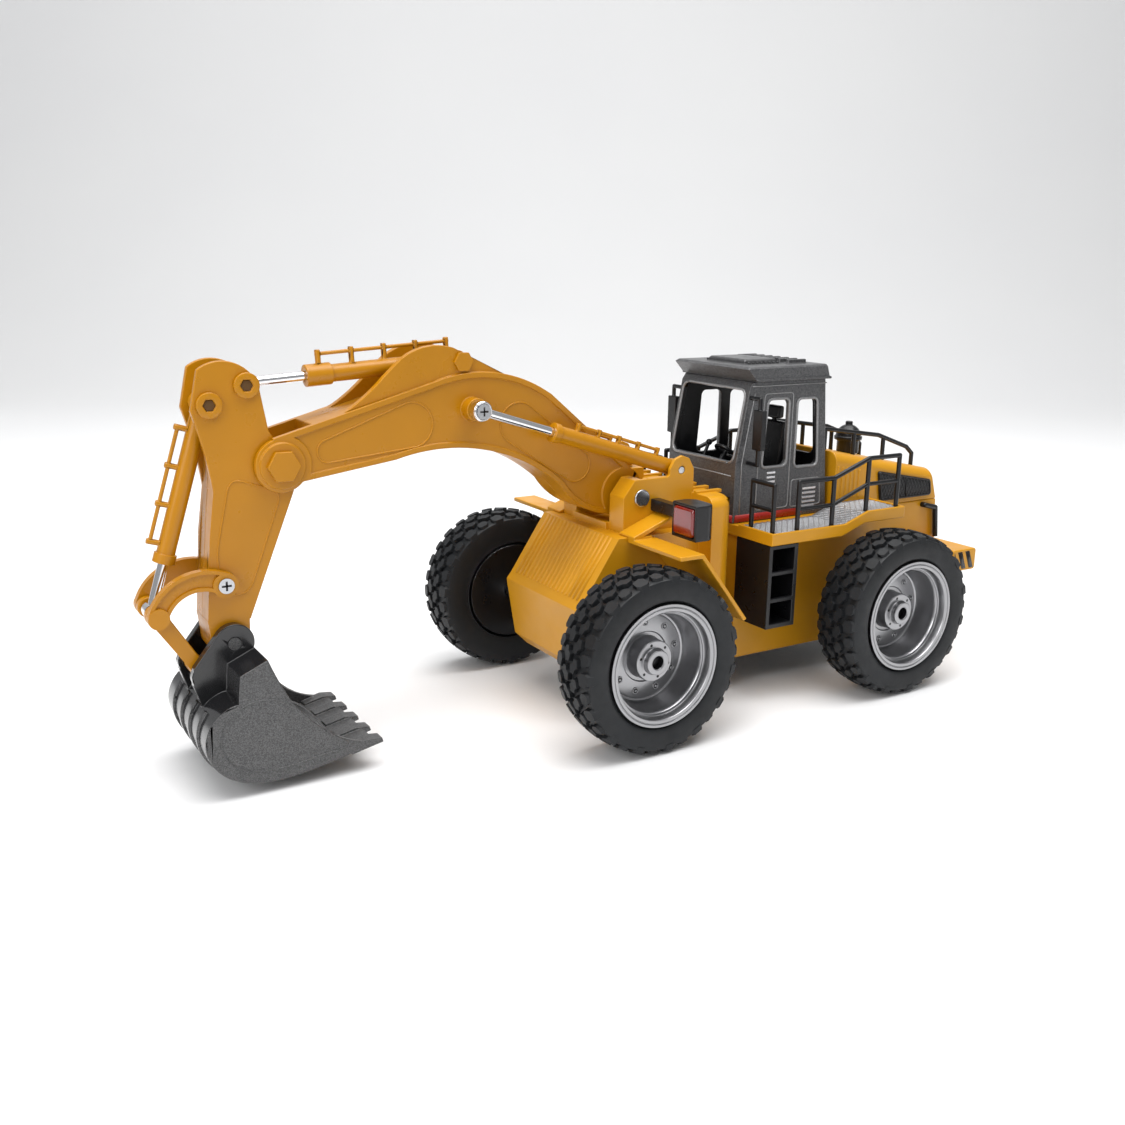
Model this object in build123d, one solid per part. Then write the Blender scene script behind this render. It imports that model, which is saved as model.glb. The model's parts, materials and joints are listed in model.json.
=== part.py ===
"""Toy wheeled excavator with an articulated chassis and a three-part digging arm.

Millimetres.  +X points forward (towards the bucket), +Y to the vehicle's left, +Z up.
Every shape is drawn with x measured from the front axle and z from the ground.
export() moves it so that the origin is at the middle of the whole object's footprint.
"""
import os
from math import cos, degrees, hypot, pi, radians, sin

from build123d import *

# ---------------------------------------------------------------- driving dimensions
ORIGIN_SHIFT = 9.6          # front axle to the middle of the bounding box
PIN_GAP = 0.05              # radial clearance of a running fit
SIDE_GAP = 0.4              # side clearance between pieces that move past each other

WHEELBASE = 115.9
TYRE_RADIUS = 32.0
TYRE_INNER_Y = 42.4
TYRE_OUTER_Y = 62.0
RIM_LIP_RADIUS = 21.6
RIM_LIP_Y = 61.85
HUB_FACE_Y = 55.5
AXLE_RADIUS = 3.0
HUB_BORE = 2.2

HULL_HALF = 26.0            # front hull half width
EAR_INNER = 11.3            # boom ears, inner and outer faces
EAR_OUTER = 20.4
TURRET_HALF = 33.0
TURRET_REAR = -52.0
TURRET_FRONT = -40.0
TURRET_TOP = 80.0
FENDER_HALF = 57.2
HINGE_X = -52.0             # steering hinge
WALL = 2.0

REAR_FRONT = -60.0          # foremost face of the rear section
REAR_HALF = 24.0
DECK_HALF = 44.0
DECK_TOP = 66.0
DECK_HIGH = 70.0            # deck level above the rear wheels
CAB_HALF = 21.0
CAB_WALL = 1.6
CAB_TOP = 119.3
ROOF_TOP = 124.9
HOOD_FRONT = -108.5
HOOD_BASE = 66.4

FRONT_UNDERSIDE = 15.1      # undersides and thickness of the base plates
REAR_UNDERSIDE = 13.1
PLATE = 1.8
SCREW_HEAD_RADIUS = 2.0
SCREW_HEAD_DEPTH = 1.0
REAR_SCREW_SPOTS = [(x, y) for x in (-64.5, -114.0, -144.0) for y in (17, -17)]

BOOM_HALF = 9.5
FORK_INNER = 7.4            # inside of the boom's nose fork
CHEEK_OUTER = 8.3
CHEEK_INNER = 5.8
STICK_HALF = FORK_INNER - SIDE_GAP
EAR_BUCKET_INNER = STICK_HALF + SIDE_GAP
LINK_INNER = 4.2
LINK_OUTER = STICK_HALF
EAR_BUCKET_OUTER = 10.4
BUCKET_HALF = 24.0
BUCKET_WALL = 1.7

# pivots of the arm (x, z)
BOOM_PIVOT = (-17.4, 79.9)
LUG_PIVOT = (-35.2, 88.6)
BOOM_EYE = (44.5, 113.9)
STICK_PIVOT = (109.6, 99.9)
STICK_CYLINDER_BASE = (47.3, 129.4)
STICK_CYLINDER_EYE = (118.8, 124.6)
BUCKET_CYLINDER_BASE = (130.2, 119.2)
ROCKER_PIVOT = (129.2, 64.6)
ROCKER_END = (149.6, 56.8)
BUCKET_PIVOT = (127.7, 45.7)
BUCKET_LINK_PIVOT = (136.9, 36.4)

BOOM_CYLINDER_Y = 15.5
SIDES = (1, -1)


# ---------------------------------------------------------------- helpers
def side_plane(y):
    """A plane whose drawing coordinates are the vehicle's x and z."""
    return Plane(origin=(0, y, 0), x_dir=(1, 0, 0), z_dir=(0, -1, 0))


def slab(face, y_low, y_high):
    """A side-view face made solid between two y values."""
    return extrude(side_plane(y_high).location * face, amount=y_high - y_low, dir=(0, -1, 0))


def polygon(*points):
    return make_face(Polyline(*points, close=True))


def soft_polygon(radius, *points):
    return make_face(FilletPolyline(*points, radius=radius, close=True))


def disc(centre, radius):
    return Pos(*centre) * Circle(radius)


def bar_outline(start, end, half_start, half_end):
    """A tapered bar between two points, drawn in side view."""
    length = hypot(end[0] - start[0], end[1] - start[1])
    nx = -(end[1] - start[1]) / length
    nz = (end[0] - start[0]) / length
    return polygon(
        (start[0] + nx * half_start, start[1] + nz * half_start),
        (end[0] + nx * half_end, end[1] + nz * half_end),
        (end[0] - nx * half_end, end[1] - nz * half_end),
        (start[0] - nx * half_start, start[1] - nz * half_start))


def cross_pin(centre, radius, y_low, y_high):
    """A round pin along Y at a side-view point."""
    return slab(disc(centre, radius), min(y_low, y_high), max(y_low, y_high))


def cross_hex(centre, radius, y_low, y_high):
    face = Pos(*centre) * RegularPolygon(radius, 6)
    return slab(face, min(y_low, y_high), max(y_low, y_high))


def run(start, end, radius):
    """A round bar between two points in space."""
    a = Vector(*start)
    b = Vector(*end)
    return extrude(Plane(origin=a, z_dir=b - a) * Circle(radius), amount=(b - a).length)


def bent_tube(points, radius):
    """Straight round runs with a ball at each inner corner."""
    tube = run(points[0], points[1], radius)
    for start, end in zip(points[1:-1], points[2:]):
        tube = tube + Pos(*start) * Sphere(radius) + run(start, end, radius)
    return tube


def block(x, y, z):
    """A box from three (low, high) pairs."""
    centre = ((x[0] + x[1]) / 2, (y[0] + y[1]) / 2, (z[0] + z[1]) / 2)
    return Pos(*centre) * Box(abs(x[1] - x[0]), abs(y[1] - y[0]), abs(z[1] - z[0]))


def mirrored(shape):
    """The shape and its mirror image across the middle plane."""
    return [shape, mirror(shape, about=Plane.XZ)]


def along(start, end, distance):
    """The side-view point at a distance from start towards end."""
    length = hypot(end[0] - start[0], end[1] - start[1])
    t = distance / length
    return (start[0] + (end[0] - start[0]) * t, start[1] + (end[1] - start[1]) * t)


def at_y(point, y):
    return (point[0], y, point[1])


def export(node, shapes):
    """Write one node: a solid, or a group of separate solids."""
    solids = []
    for shape in shapes if isinstance(shapes, (list, tuple)) else [shapes]:
        solids.extend(shape.solids())
    moved = [Pos(ORIGIN_SHIFT, 0, 0) * solid for solid in solids]
    result = moved[0] if len(moved) == 1 else Compound(children=moved)
    export_step(result, f"parts/{node}.step")


# ---------------------------------------------------------------- wheels
def turned(profile):
    """A closed (y, radius) profile turned round the wheel axis."""
    face = make_face(Polyline(*[(r, y) for y, r in profile], close=True))
    return Rot(-90, 0, 0) * revolve(Plane.XZ * face, axis=Axis.Z)


def tyre():
    seat = 19.8
    return turned([
        (TYRE_INNER_Y + 1.0, seat), (TYRE_INNER_Y, 24.0), (TYRE_INNER_Y, 30.0), (TYRE_INNER_Y + 1.5, 31.8),
        (TYRE_INNER_Y + 4.0, TYRE_RADIUS), (TYRE_OUTER_Y - 6.0, TYRE_RADIUS), (TYRE_OUTER_Y - 2.0, 31.4),
        (TYRE_OUTER_Y - 0.4, 29.4), (TYRE_OUTER_Y, 26.5), (TYRE_OUTER_Y - 0.6, 22.2), (RIM_LIP_Y - 2.2, 21.9),
        (RIM_LIP_Y - 2.4, seat)])


def rim():
    """Deep-dish rim: outer lip, stepped barrel, bolt flange and a raised hub."""
    body = turned([
        (RIM_LIP_Y, RIM_LIP_RADIUS), (RIM_LIP_Y, 19.6), (RIM_LIP_Y - 1.0, 18.8), (RIM_LIP_Y - 3.4, 18.6),
        (RIM_LIP_Y - 3.8, 17.6), (RIM_LIP_Y - 11.5, 16.6), (RIM_LIP_Y - 12.5, 15.4), (HUB_FACE_Y - 5.4, 14.6),
        (HUB_FACE_Y - 5.4, 7.4), (HUB_FACE_Y, 7.2), (HUB_FACE_Y, 4.6), (HUB_FACE_Y + 2.2, 4.2),
        (HUB_FACE_Y + 2.2, HUB_BORE), (HUB_FACE_Y - 0.5, HUB_BORE), (HUB_FACE_Y - 0.5, AXLE_RADIUS),
        (TYRE_INNER_Y + 1.2, AXLE_RADIUS), (TYRE_INNER_Y + 1.2, 8.0), (HUB_FACE_Y - 7.6, 8.6),
        (HUB_FACE_Y - 7.6, 16.8), (TYRE_INNER_Y + 1.0, 18.4), (TYRE_INNER_Y + 1.0, 19.8),
        (RIM_LIP_Y - 2.4, 19.8), (RIM_LIP_Y - 2.0, RIM_LIP_RADIUS)])
    for i in range(8):
        angle = radians(45 * i + 22.5)
        spot = (12.2 * cos(angle), 12.2 * sin(angle))
        body = body + cross_pin(spot, 0.9, HUB_FACE_Y - 5.4, HUB_FACE_Y - 4.6)
    for i in range(6):
        angle = radians(60 * i)
        spot = (5.9 * cos(angle), 5.9 * sin(angle))
        body = body - cross_pin(spot, 0.5, HUB_FACE_Y - 0.8, HUB_FACE_Y + 1)
    return body


def wheel_set(prefix, axle_x):
    place = Pos(axle_x, 0, TYRE_RADIUS)
    export(prefix + "_tyres", [place * part for part in mirrored(tyre())])
    export(prefix + "_rims", [place * part for part in mirrored(rim())])
    axle = cross_pin((axle_x, TYRE_RADIUS), AXLE_RADIUS, -HUB_FACE_Y + 0.5, HUB_FACE_Y - 0.5)
    collar = HULL_HALF + 1.0
    for side in SIDES:
        axle = axle + cross_pin((axle_x, TYRE_RADIUS), 5.0, side * collar, side * (collar + 3.0))
    export(prefix + "_axle", axle)


def drive_gear(axle_x):
    """Spur gear on the rear axle, driven by the motor through the gearbox."""
    teeth = 20
    gear = cross_pin((axle_x, TYRE_RADIUS), 8.2, -3, 3)
    for i in range(teeth):
        angle = 2 * pi * i / teeth
        tooth = Pos(9.0, 0, 0) * Box(2.2, 6, 1.3)
        gear = gear + Pos(axle_x, 0, TYRE_RADIUS) * Rot(0, degrees(angle), 0) * tooth
    return gear - cross_pin((axle_x, TYRE_RADIUS), AXLE_RADIUS, -4, 4)


# ---------------------------------------------------------------- front section
NOSE_PROFILE = (
    (-4.3, 67.5), (10.2, 45.7), (12.3, 43.0), (12.2, 41.6), (8.6, 20.5), (3.0, 15.0), (-44.0, 15.0),
    (-44.0, 67.5))
EAR_PROFILE = (
    (-9.8, 66.5), (-9.8, 80.5), (-14.6, 86.6), (-29.7, 86.6), (-29.9, 89.5), (-32.0, 92.8), (-35.2, 94.0),
    (-38.4, 92.8), (-40.6, 89.0), (-41.0, 66.5))


def front_hull():
    outer = slab(polygon(*NOSE_PROFILE), -HULL_HALF, HULL_HALF)
    inner_profile = polygon(
        (-5.6, 65.2), (8.0, 45.0), (9.8, 42.4), (6.4, 20.9), (2.0, 14.0), (-42.0, 14.0), (-42.0, 65.2))
    hull = outer - slab(inner_profile, -HULL_HALF + WALL, HULL_HALF - WALL)
    turret = block((TURRET_REAR, TURRET_FRONT), (-TURRET_HALF, TURRET_HALF), (40, TURRET_TOP))
    turret = fillet(turret.edges().filter_by(Axis.Z).group_by(Axis.X)[0], 8.0)
    turret = fillet(turret.edges().filter_by(Axis.X).group_by(Axis.Z)[-1], 4.0)
    for side in SIDES:
        turret = turret - block((-50, -42), (side * 13, side * 31), (39, TURRET_TOP - 2))
    turret = turret - block((-53, -44), (-13, 13), (38, 52))
    hull = hull + turret
    for side in SIDES:
        ear = slab(soft_polygon(1.2, *EAR_PROFILE), *sorted((side * EAR_INNER, side * EAR_OUTER)))
        pocket = block((-42, -18), sorted((side * (EAR_INNER - 1), side * 18.9)), (84.4, 95))
        hull = hull + (ear - pocket)
    hull = hull + block((-10.8, -8.4), (-EAR_INNER, EAR_INNER), (67, 70.2))
    tongue = block((HINGE_X, -42), (-7, 7), (34, 44)) + Pos(HINGE_X, 0, 39) * Cylinder(7, 10)
    hull = hull + tongue - Pos(HINGE_X, 0, 39) * Cylinder(AXLE_RADIUS + PIN_GAP, 14)
    for i in range(12):
        rib = run((-4.1, -14.0 + 2.55 * i, 67.0), (10.0, -14.0 + 2.55 * i, 46.0), 0.6)
        hull = hull + rib
    for i in range(7):
        y = -22.5 + 7.5 * i
        hull = hull + block((-51.5, TURRET_FRONT), (y - 1.1, y + 1.1), (TURRET_TOP - 0.5, TURRET_TOP + 0.8))
    hull = hull - cross_pin(BOOM_PIVOT, 2.5 + PIN_GAP, -EAR_OUTER - 1, EAR_OUTER + 1)
    hull = hull - cross_pin((0, TYRE_RADIUS), AXLE_RADIUS + PIN_GAP, -HULL_HALF - 1, HULL_HALF + 1)
    for side in SIDES:
        hull = hull - cross_pin(LUG_PIVOT, 1.5 + PIN_GAP, side * 12, side * (EAR_OUTER + 1))
    return hull


def front_fenders():
    plates = []
    for side in SIDES:
        profile = polygon(
            (-8.0, 67.3), (-17.9, 67.3), (-38.0, 41.6), (-36.7, 40.8), (-17.2, 65.7), (-8.0, 65.7))
        plate = slab(profile, *sorted((side * (HULL_HALF + 0.02), side * FENDER_HALF)))
        ramp = polygon((-8.0, 67.52), (-8.0, 68.4), (-24.5, 74.8), (-24.5, 73.4), (-11.0, 67.52))
        brace = slab(ramp, *sorted((side * (EAR_OUTER + 0.02), side * 30.0)))
        step = block((-16.0, -8.0), sorted((side * (HULL_HALF + 0.02), side * (HULL_HALF + 4))), (66.5, 68.3))
        plates.append(plate + brace + step)
    return plates


def headlight_housing(side):
    body = block((-29.5, -20.6), sorted((side * 34.6, side * 48.4)), (68.9, 81.4))
    body = fillet(body.edges().filter_by(Axis.Z).group_by(Axis.X)[0], 4.0)
    body = body - block((-22.4, -20), sorted((side * 35.8, side * 47.2)), (70.1, 80.2))
    arm = block((-25.4, -21.4), sorted((side * (EAR_OUTER + 0.02), side * 35)), (75.0, 79.4))
    return body + arm


def headlight_lens(side):
    body = block((-22.4, -20.0), sorted((side * 35.85, side * 47.15)), (70.15, 80.15))
    return fillet(body.edges().group_by(Axis.X)[-1], 0.9)


def riveted_pin(centre, radius, half, head_radius, head_depth):
    """A through pin with a low head on both ends."""
    pin = cross_pin(centre, radius, -half, half)
    for side in SIDES:
        pin = pin + cross_pin(centre, head_radius, side * half, side * (half + head_depth))
    return pin


def screws(spots, under):
    """Cross-head screws pointing up, sunk in the counterbores of a plate whose underside is at a height."""
    cross = Box(2.4, 0.5, 0.8) + Box(0.5, 2.4, 0.8)
    result = []
    for x, y in spots:
        head = Pos(x, y, under + 0.6) * Cylinder(SCREW_HEAD_RADIUS, SCREW_HEAD_DEPTH)
        result.append(head - Pos(x, y, under + 0.1) * cross)
    return result


def counterbored(plate, spots, under):
    for x, y in spots:
        plate = plate - Pos(x, y, under) * Cylinder(SCREW_HEAD_RADIUS + 0.15, 2 * (SCREW_HEAD_DEPTH + 0.12))
    return plate


def gearmotor(x, y, z, can_radius, can_length, box):
    """A small motor can on a square gearbox, its shaft along X."""
    can = Pos(x, y, z) * Rot(0, 90, 0) * Cylinder(can_radius, can_length)
    head = Pos(x + can_length / 2 + box[0] / 2, y, z) * Box(*box)
    return can + head


def front_section():
    export("front_hull", front_hull())
    export("front_fenders", front_fenders())
    export("headlight_housings", [headlight_housing(side) for side in SIDES])
    export("headlight_lenses", [headlight_lens(side) for side in SIDES])
    lug_pins = [cross_pin(LUG_PIVOT, 1.5, side * 12.2, side * (EAR_OUTER - 0.2)) for side in SIDES]
    export("chassis_arm_pins", [riveted_pin(BOOM_PIVOT, 2.5, EAR_OUTER, 3.2, 0.9)] + lug_pins)
    plate = block((-42.0, 1.8), (-23.9, 23.9), (FRONT_UNDERSIDE, FRONT_UNDERSIDE + PLATE))
    spots = [(x, y) for x in (-38.0, -3.0) for y in (18, -18)]
    export("front_base_plate", counterbored(plate, spots, FRONT_UNDERSIDE))
    export("front_case_screws", screws(spots, FRONT_UNDERSIDE))
    export("boom_gearmotor", gearmotor(-32, 0, 54, 6.5, 16, (14, 16, 15)))


# ---------------------------------------------------------------- rear section
def rear_hull():
    outer = slab(polygon(
        (REAR_FRONT, 13.0), (REAR_FRONT, 61.9), (-127.5, 61.9), (-127.5, HOOD_BASE - 0.05),
        (-167.8, HOOD_BASE - 0.05), (-169.3, 49.0), (-158.0, 49.0), (-158.0, 24.0), (-150.0, 13.0)),
        -REAR_HALF, REAR_HALF)
    inner = slab(polygon(
        (REAR_FRONT - 2, 12.0), (REAR_FRONT - 2, 59.9), (-129.5, 59.9), (-129.5, 67.0), (-165.6, 67.0),
        (-166.9, 51.0), (-156.0, 51.0), (-156.0, 24.0), (-148.5, 12.0)), -REAR_HALF + WALL, REAR_HALF - WALL)
    hull = outer - inner
    for low, high in ((29.0, 33.6), (44.4, 49.0)):
        plate = block((REAR_FRONT - 1, HINGE_X), (-7, 7), (low, high))
        plate = plate + Pos(HINGE_X, 0, (low + high) / 2) * Cylinder(7, high - low)
        hull = hull + plate
    hull = hull - Pos(HINGE_X, 0, 39) * Cylinder(AXLE_RADIUS, 24)
    return hull - cross_pin((-WHEELBASE, TYRE_RADIUS), AXLE_RADIUS + PIN_GAP, -30, 30)


def rear_base_plate():
    plate = block((-148.0, REAR_FRONT - 2.1), (-21.9, 21.9), (REAR_UNDERSIDE, REAR_UNDERSIDE + PLATE))
    plate = plate - block((-108.0, -78.0), (-13.0, 13.0), (12, 16))
    plate = counterbored(plate, REAR_SCREW_SPOTS, REAR_UNDERSIDE)
    return plate - block((-71.2, -65.0), (-1.6, 1.6), (12, 16))


def deck_side(side, half, top, thickness, inset):
    """One side's deck: low beside the cab, a ramp, and high over the rear wheel."""
    rise = DECK_HIGH - DECK_TOP
    profile = polygon(
        (REAR_FRONT + 0.5 - inset, top), (-96.0, top), (-107.5, top + rise), (-127.2 + inset, top + rise),
        (-127.2 + inset, top + rise - thickness), (-106.0, top + rise - thickness),
        (-94.5, top - thickness), (REAR_FRONT + 0.5 - inset, top - thickness))
    return slab(profile, *sorted((side * (REAR_HALF + 0.4), side * half)))


def deck_frame():
    deck = block((-107.9, REAR_FRONT + 0.5), (-REAR_HALF - 0.4, REAR_HALF + 0.4), (61.95, DECK_TOP))
    for side in SIDES:
        tray = deck_side(side, DECK_HALF, DECK_TOP + 0.7, 4.6, 0.0)
        tray = tray - deck_side(side, DECK_HALF - 1.2, DECK_TOP + 2.0, 3.0, 1.2)
        deck = deck + tray
    deck = deck - block((-200, -108.0), (-REAR_HALF - 0.3, REAR_HALF + 0.3), (60, 90))
    return deck


def grip_plates():
    plates = []
    for side in SIDES:
        plate = deck_side(side, DECK_HALF - 1.25, DECK_TOP + 0.05, 1.0, 1.25)
        plates.append(plate)
    return plates


def step_box(side):
    body = block((-73.5, REAR_FRONT + 0.5), sorted((side * (REAR_HALF + 0.05), side * 43.0)), (30.0, 61.9))
    body = body - block((-71.7, -58), sorted((side * 30, side * 41.2)), (31.8, 60))
    levels = (31.8, 41.6, 51.9, 61.9)
    for low, high in zip(levels[:-1], levels[1:]):
        body = body - block((-71.7, REAR_FRONT - 1.3), sorted((side * 37.0, side * 44)), (low, high - 1.6))
    front = block((REAR_FRONT - 1.2, REAR_FRONT + 0.5), sorted((side * 28.0, side * 43.0)), (30.0, 61.9))
    return body + front


CAB_PROFILE = (
    (-59.6, DECK_TOP + 0.02), (-59.8, 89.0), (-64.9, 117.0), (-66.5, CAB_TOP), (-102.6, CAB_TOP),
    (-107.3, DECK_TOP + 0.02))
CAB_INNER = (
    (-61.4, DECK_TOP + 1.6), (-61.5, 89.2), (-66.7, 116.6), (-67.4, CAB_TOP + 1), (-100.9, CAB_TOP + 1),
    (-105.6, DECK_TOP + 1.6))


def cab_shell():
    cab = slab(polygon(*CAB_PROFILE), -CAB_HALF, CAB_HALF)
    cab = cab - slab(polygon(*CAB_INNER), -CAB_HALF + CAB_WALL, CAB_HALF - CAB_WALL)
    windshield = Plane(origin=(-50, 0, 102.6), x_dir=(0, 1, 0), z_dir=(-1, 0, 0))
    cab = cab - extrude(windshield.location * RectangleRounded(37.0, 26.4, 3.0), amount=22)
    rear_window = Plane(origin=(-98, 0, 100.5), x_dir=(0, 1, 0), z_dir=(-1, 0, 0))
    cab = cab - extrude(rear_window.location * RectangleRounded(30.0, 23.0, 3.0), amount=14)
    door = soft_polygon(2.2, (-72.6, 87.0), (-74.4, 112.0), (-84.2, 112.0), (-84.2, 87.0))
    quarter = soft_polygon(2.2, (-89.2, 86.0), (-89.2, 111.6), (-98.6, 111.6), (-100.4, 86.0))
    for face in (door, quarter):
        cab = cab - slab(face, -CAB_HALF - 1, CAB_HALF + 1)
    return cab


def cab_roof():
    profile = polygon(
        (-66.8, CAB_TOP + 0.02), (-62.4, ROOF_TOP - 0.9), (-63.6, ROOF_TOP), (-101.6, ROOF_TOP),
        (-103.4, CAB_TOP + 0.02))
    roof = slab(profile, -22.6, 22.6)
    roof = chamfer(roof.edges().filter_by(Axis.X).group_by(Axis.Z)[-1], 0.8)
    roof = roof + block((-103.6, -66.6), (-23.2, 23.2), (CAB_TOP + 0.02, CAB_TOP + 0.9))
    hatch = block((-86.0, -70.0), (-11.0, 11.0), (ROOF_TOP - 0.5, ROOF_TOP + 1.8))
    roof = roof + chamfer(hatch.edges().group_by(Axis.Z)[-1], 0.7)
    for i in range(7):
        y = -14.4 + 4.8 * i
        roof = roof + block((-97.2, -88.0), (y - 0.8, y + 0.8), (ROOF_TOP - 0.5, ROOF_TOP + 1.5))
    return roof


def seat():
    base = block((-93.0, -79.0), (-6.0, 6.0), (67.62, 74.0))
    cushion = block((-95.0, -77.0), (-8.0, 8.0), (74.0, 78.5))
    back = slab(polygon((-91.5, 78.0), (-95.0, 101.0), (-98.2, 101.0), (-96.0, 78.0)), -7.5, 7.5)
    head = slab(polygon((-94.4, 102.0), (-95.2, 107.0), (-98.0, 107.0), (-97.9, 102.0)), -4.0, 4.0)
    post = block((-97.0, -95.6), (-1.0, 1.0), (100.5, 102.5))
    return base + cushion + back + head + post


def cab_controls():
    profile = polygon((-61.6, 67.62), (-61.7, 87.0), (-65.0, 88.2), (-69.5, 84.0), (-66.0, 67.62))
    dash = slab(profile, -18.8, 18.8)
    column = run((-67.5, 0, 84.0), (-72.0, 0, 90.0), 0.9)
    wheel = Plane(origin=(-72.0, 0, 90.0), z_dir=(-0.6, 0, 0.8)).location * Torus(4.4, 0.7)
    spoke = Plane(origin=(-72.0, 0, 90.0), z_dir=(-0.6, 0, 0.8)).location * Box(1.2, 8.8, 0.9)
    controls = dash + column + wheel + spoke
    for side in SIDES:
        controls = controls + run((-67.5, side * 12.0, 80.0), (-73.0, side * 12.0, 92.0), 0.7)
        controls = controls + Pos(-73.0, side * 12.0, 92.0) * Sphere(1.3)
    return controls


def cab_mirror(side):
    x = -65.4
    wall = side * (CAB_HALF + 0.02)
    out = side * 26.6
    arm_top = bent_tube([(x, wall, 113.4), (x, out, 113.4), (x, out, 109.0)], 0.8)
    arm_low = bent_tube([(x, wall, 89.0), (x, out, 89.0), (x, out, 95.0)], 0.8)
    plate = block((-66.6, -64.4), sorted((out - side * 2.6, out + side * 2.6)), (94.6, 109.4))
    return arm_top + arm_low + plate


HOOD_OUTLINE = ((HOOD_FRONT, HOOD_BASE), (HOOD_FRONT, 90.4), (-163.6, 79.4), (-167.8, HOOD_BASE))


def above_hood(shape):
    """The shape without whatever dips below the hood's top."""
    return shape - slab(polygon(*HOOD_OUTLINE), -REAR_HALF, REAR_HALF)


def hood():
    outer = slab(polygon(*HOOD_OUTLINE), -REAR_HALF, REAR_HALF)
    lengthwise = [e for e in outer.edges() if e.bounding_box().size.Y < 0.01 and e.center().Z > 80
                  and e.bounding_box().size.X > 40]
    outer = fillet(lengthwise, 4.0)
    inner = slab(polygon(
        (HOOD_FRONT - 2, HOOD_BASE - 1), (HOOD_FRONT - 2, 86.6), (-161.8, 76.4), (-165.4, HOOD_BASE - 1)),
        -REAR_HALF + WALL, REAR_HALF - WALL)
    shell = outer - inner
    for side in SIDES:
        for i in range(6):
            x = HOOD_FRONT - 1.6 - 2.3 * i
            height = 88.0 - 0.2 * (HOOD_FRONT - x)
            flute = block((x - 0.6, x + 0.6), sorted((side * 23.5, side * 24.35)), (71.5, height - 3.0))
            shell = shell + flute
    return shell


def hood_grille(side):
    face = soft_polygon(1.0, (-131.4, 81.2), (-162.4, 75.2), (-163.4, 68.4), (-133.6, 68.4))
    return slab(face, *sorted((side * (REAR_HALF + 0.02), side * (REAR_HALF + 0.9))))


def hood_rail(side):
    y = side * 15.0
    slope = (90.4 - 79.4) / (163.6 + HOOD_FRONT)

    def deck_z(x):
        return 90.4 + (x - HOOD_FRONT) * slope

    points = [(-110.0, y, deck_z(-110) - 0.3), (-110.0, y, 98.4), (-140.0, y, 94.0), (-157.0, y, 88.0)]
    rail = bent_tube(points + [(-160.5, y, 85.0), (-160.5, y, deck_z(-160.5) - 0.3)], 0.9)
    for x, top in ((-126.0, 96.0), (-143.0, 93.0)):
        rail = rail + run((x, y, deck_z(x) - 0.3), (x, y, top), 0.9)
    return above_hood(rail)


def deck_rails(side):
    outer_y = side * 41.0
    inner_y = side * 29.0
    low = DECK_TOP + 0.12
    high = DECK_HIGH + 0.12
    front_x = REAR_FRONT - 1.9
    u_rail = bent_tube([(front_x, inner_y, low), (front_x, inner_y, 84.0), (front_x, outer_y, 84.0),
                        (front_x, outer_y, low)], 0.9)
    u_rail = u_rail + run((front_x, inner_y, 74.6), (front_x, outer_y, 74.6), 0.8)
    tops = [(-73.4, 84.4), (-90.8, 84.4), (-108.3, 90.6), (-124.6, 90.6)]
    mids = [(-73.4, 74.2), (-90.8, 74.2), (-108.3, 80.6), (-124.6, 80.6)]
    y = side * 41.4
    rail = bent_tube([(x, y, z) for x, z in tops], 0.9) + bent_tube([(x, y, z) for x, z in mids], 0.8)
    for (x, z), foot in zip(tops, (low, low, high, high)):
        rail = rail + run((x, y, foot), (x, y, z), 0.9) + Pos(x, y, z) * Sphere(0.9)
    return [u_rail, rail]


def air_cleaner():
    x = -138.0
    base = Pos(x, 0, 87.9) * Cylinder(4.6, 6.4)
    cap = Pos(x, 0, 91.1) * Cylinder(5.8, 1.6)
    dome = Pos(x, 0, 91.5) * Sphere(5.3) - block((x - 8, x + 8), (-8, 8), (80, 91.2))
    knob = Pos(x, 0, 97.0) * Cylinder(1.5, 2.2)
    return above_hood(base) + cap + dome + knob


def engine_pipe(side):
    wall = side * (REAR_HALF + 0.02)
    y = side * (REAR_HALF + 1.6)
    tube = bent_tube([(-159.5, wall, 64.6), (-159.5, y, 64.6), (-166.0, y, 63.0), (-167.6, y, 50.4)], 1.1)
    return tube - block((-180, -150), sorted((0, side * REAR_HALF)), (40, 70))


def rear_bumper():
    bumper = block((-172.0, -158.05), (-DECK_HALF, DECK_HALF), (39.6, 48.7))
    return chamfer(bumper.edges().filter_by(Axis.Y), 0.8)


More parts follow.
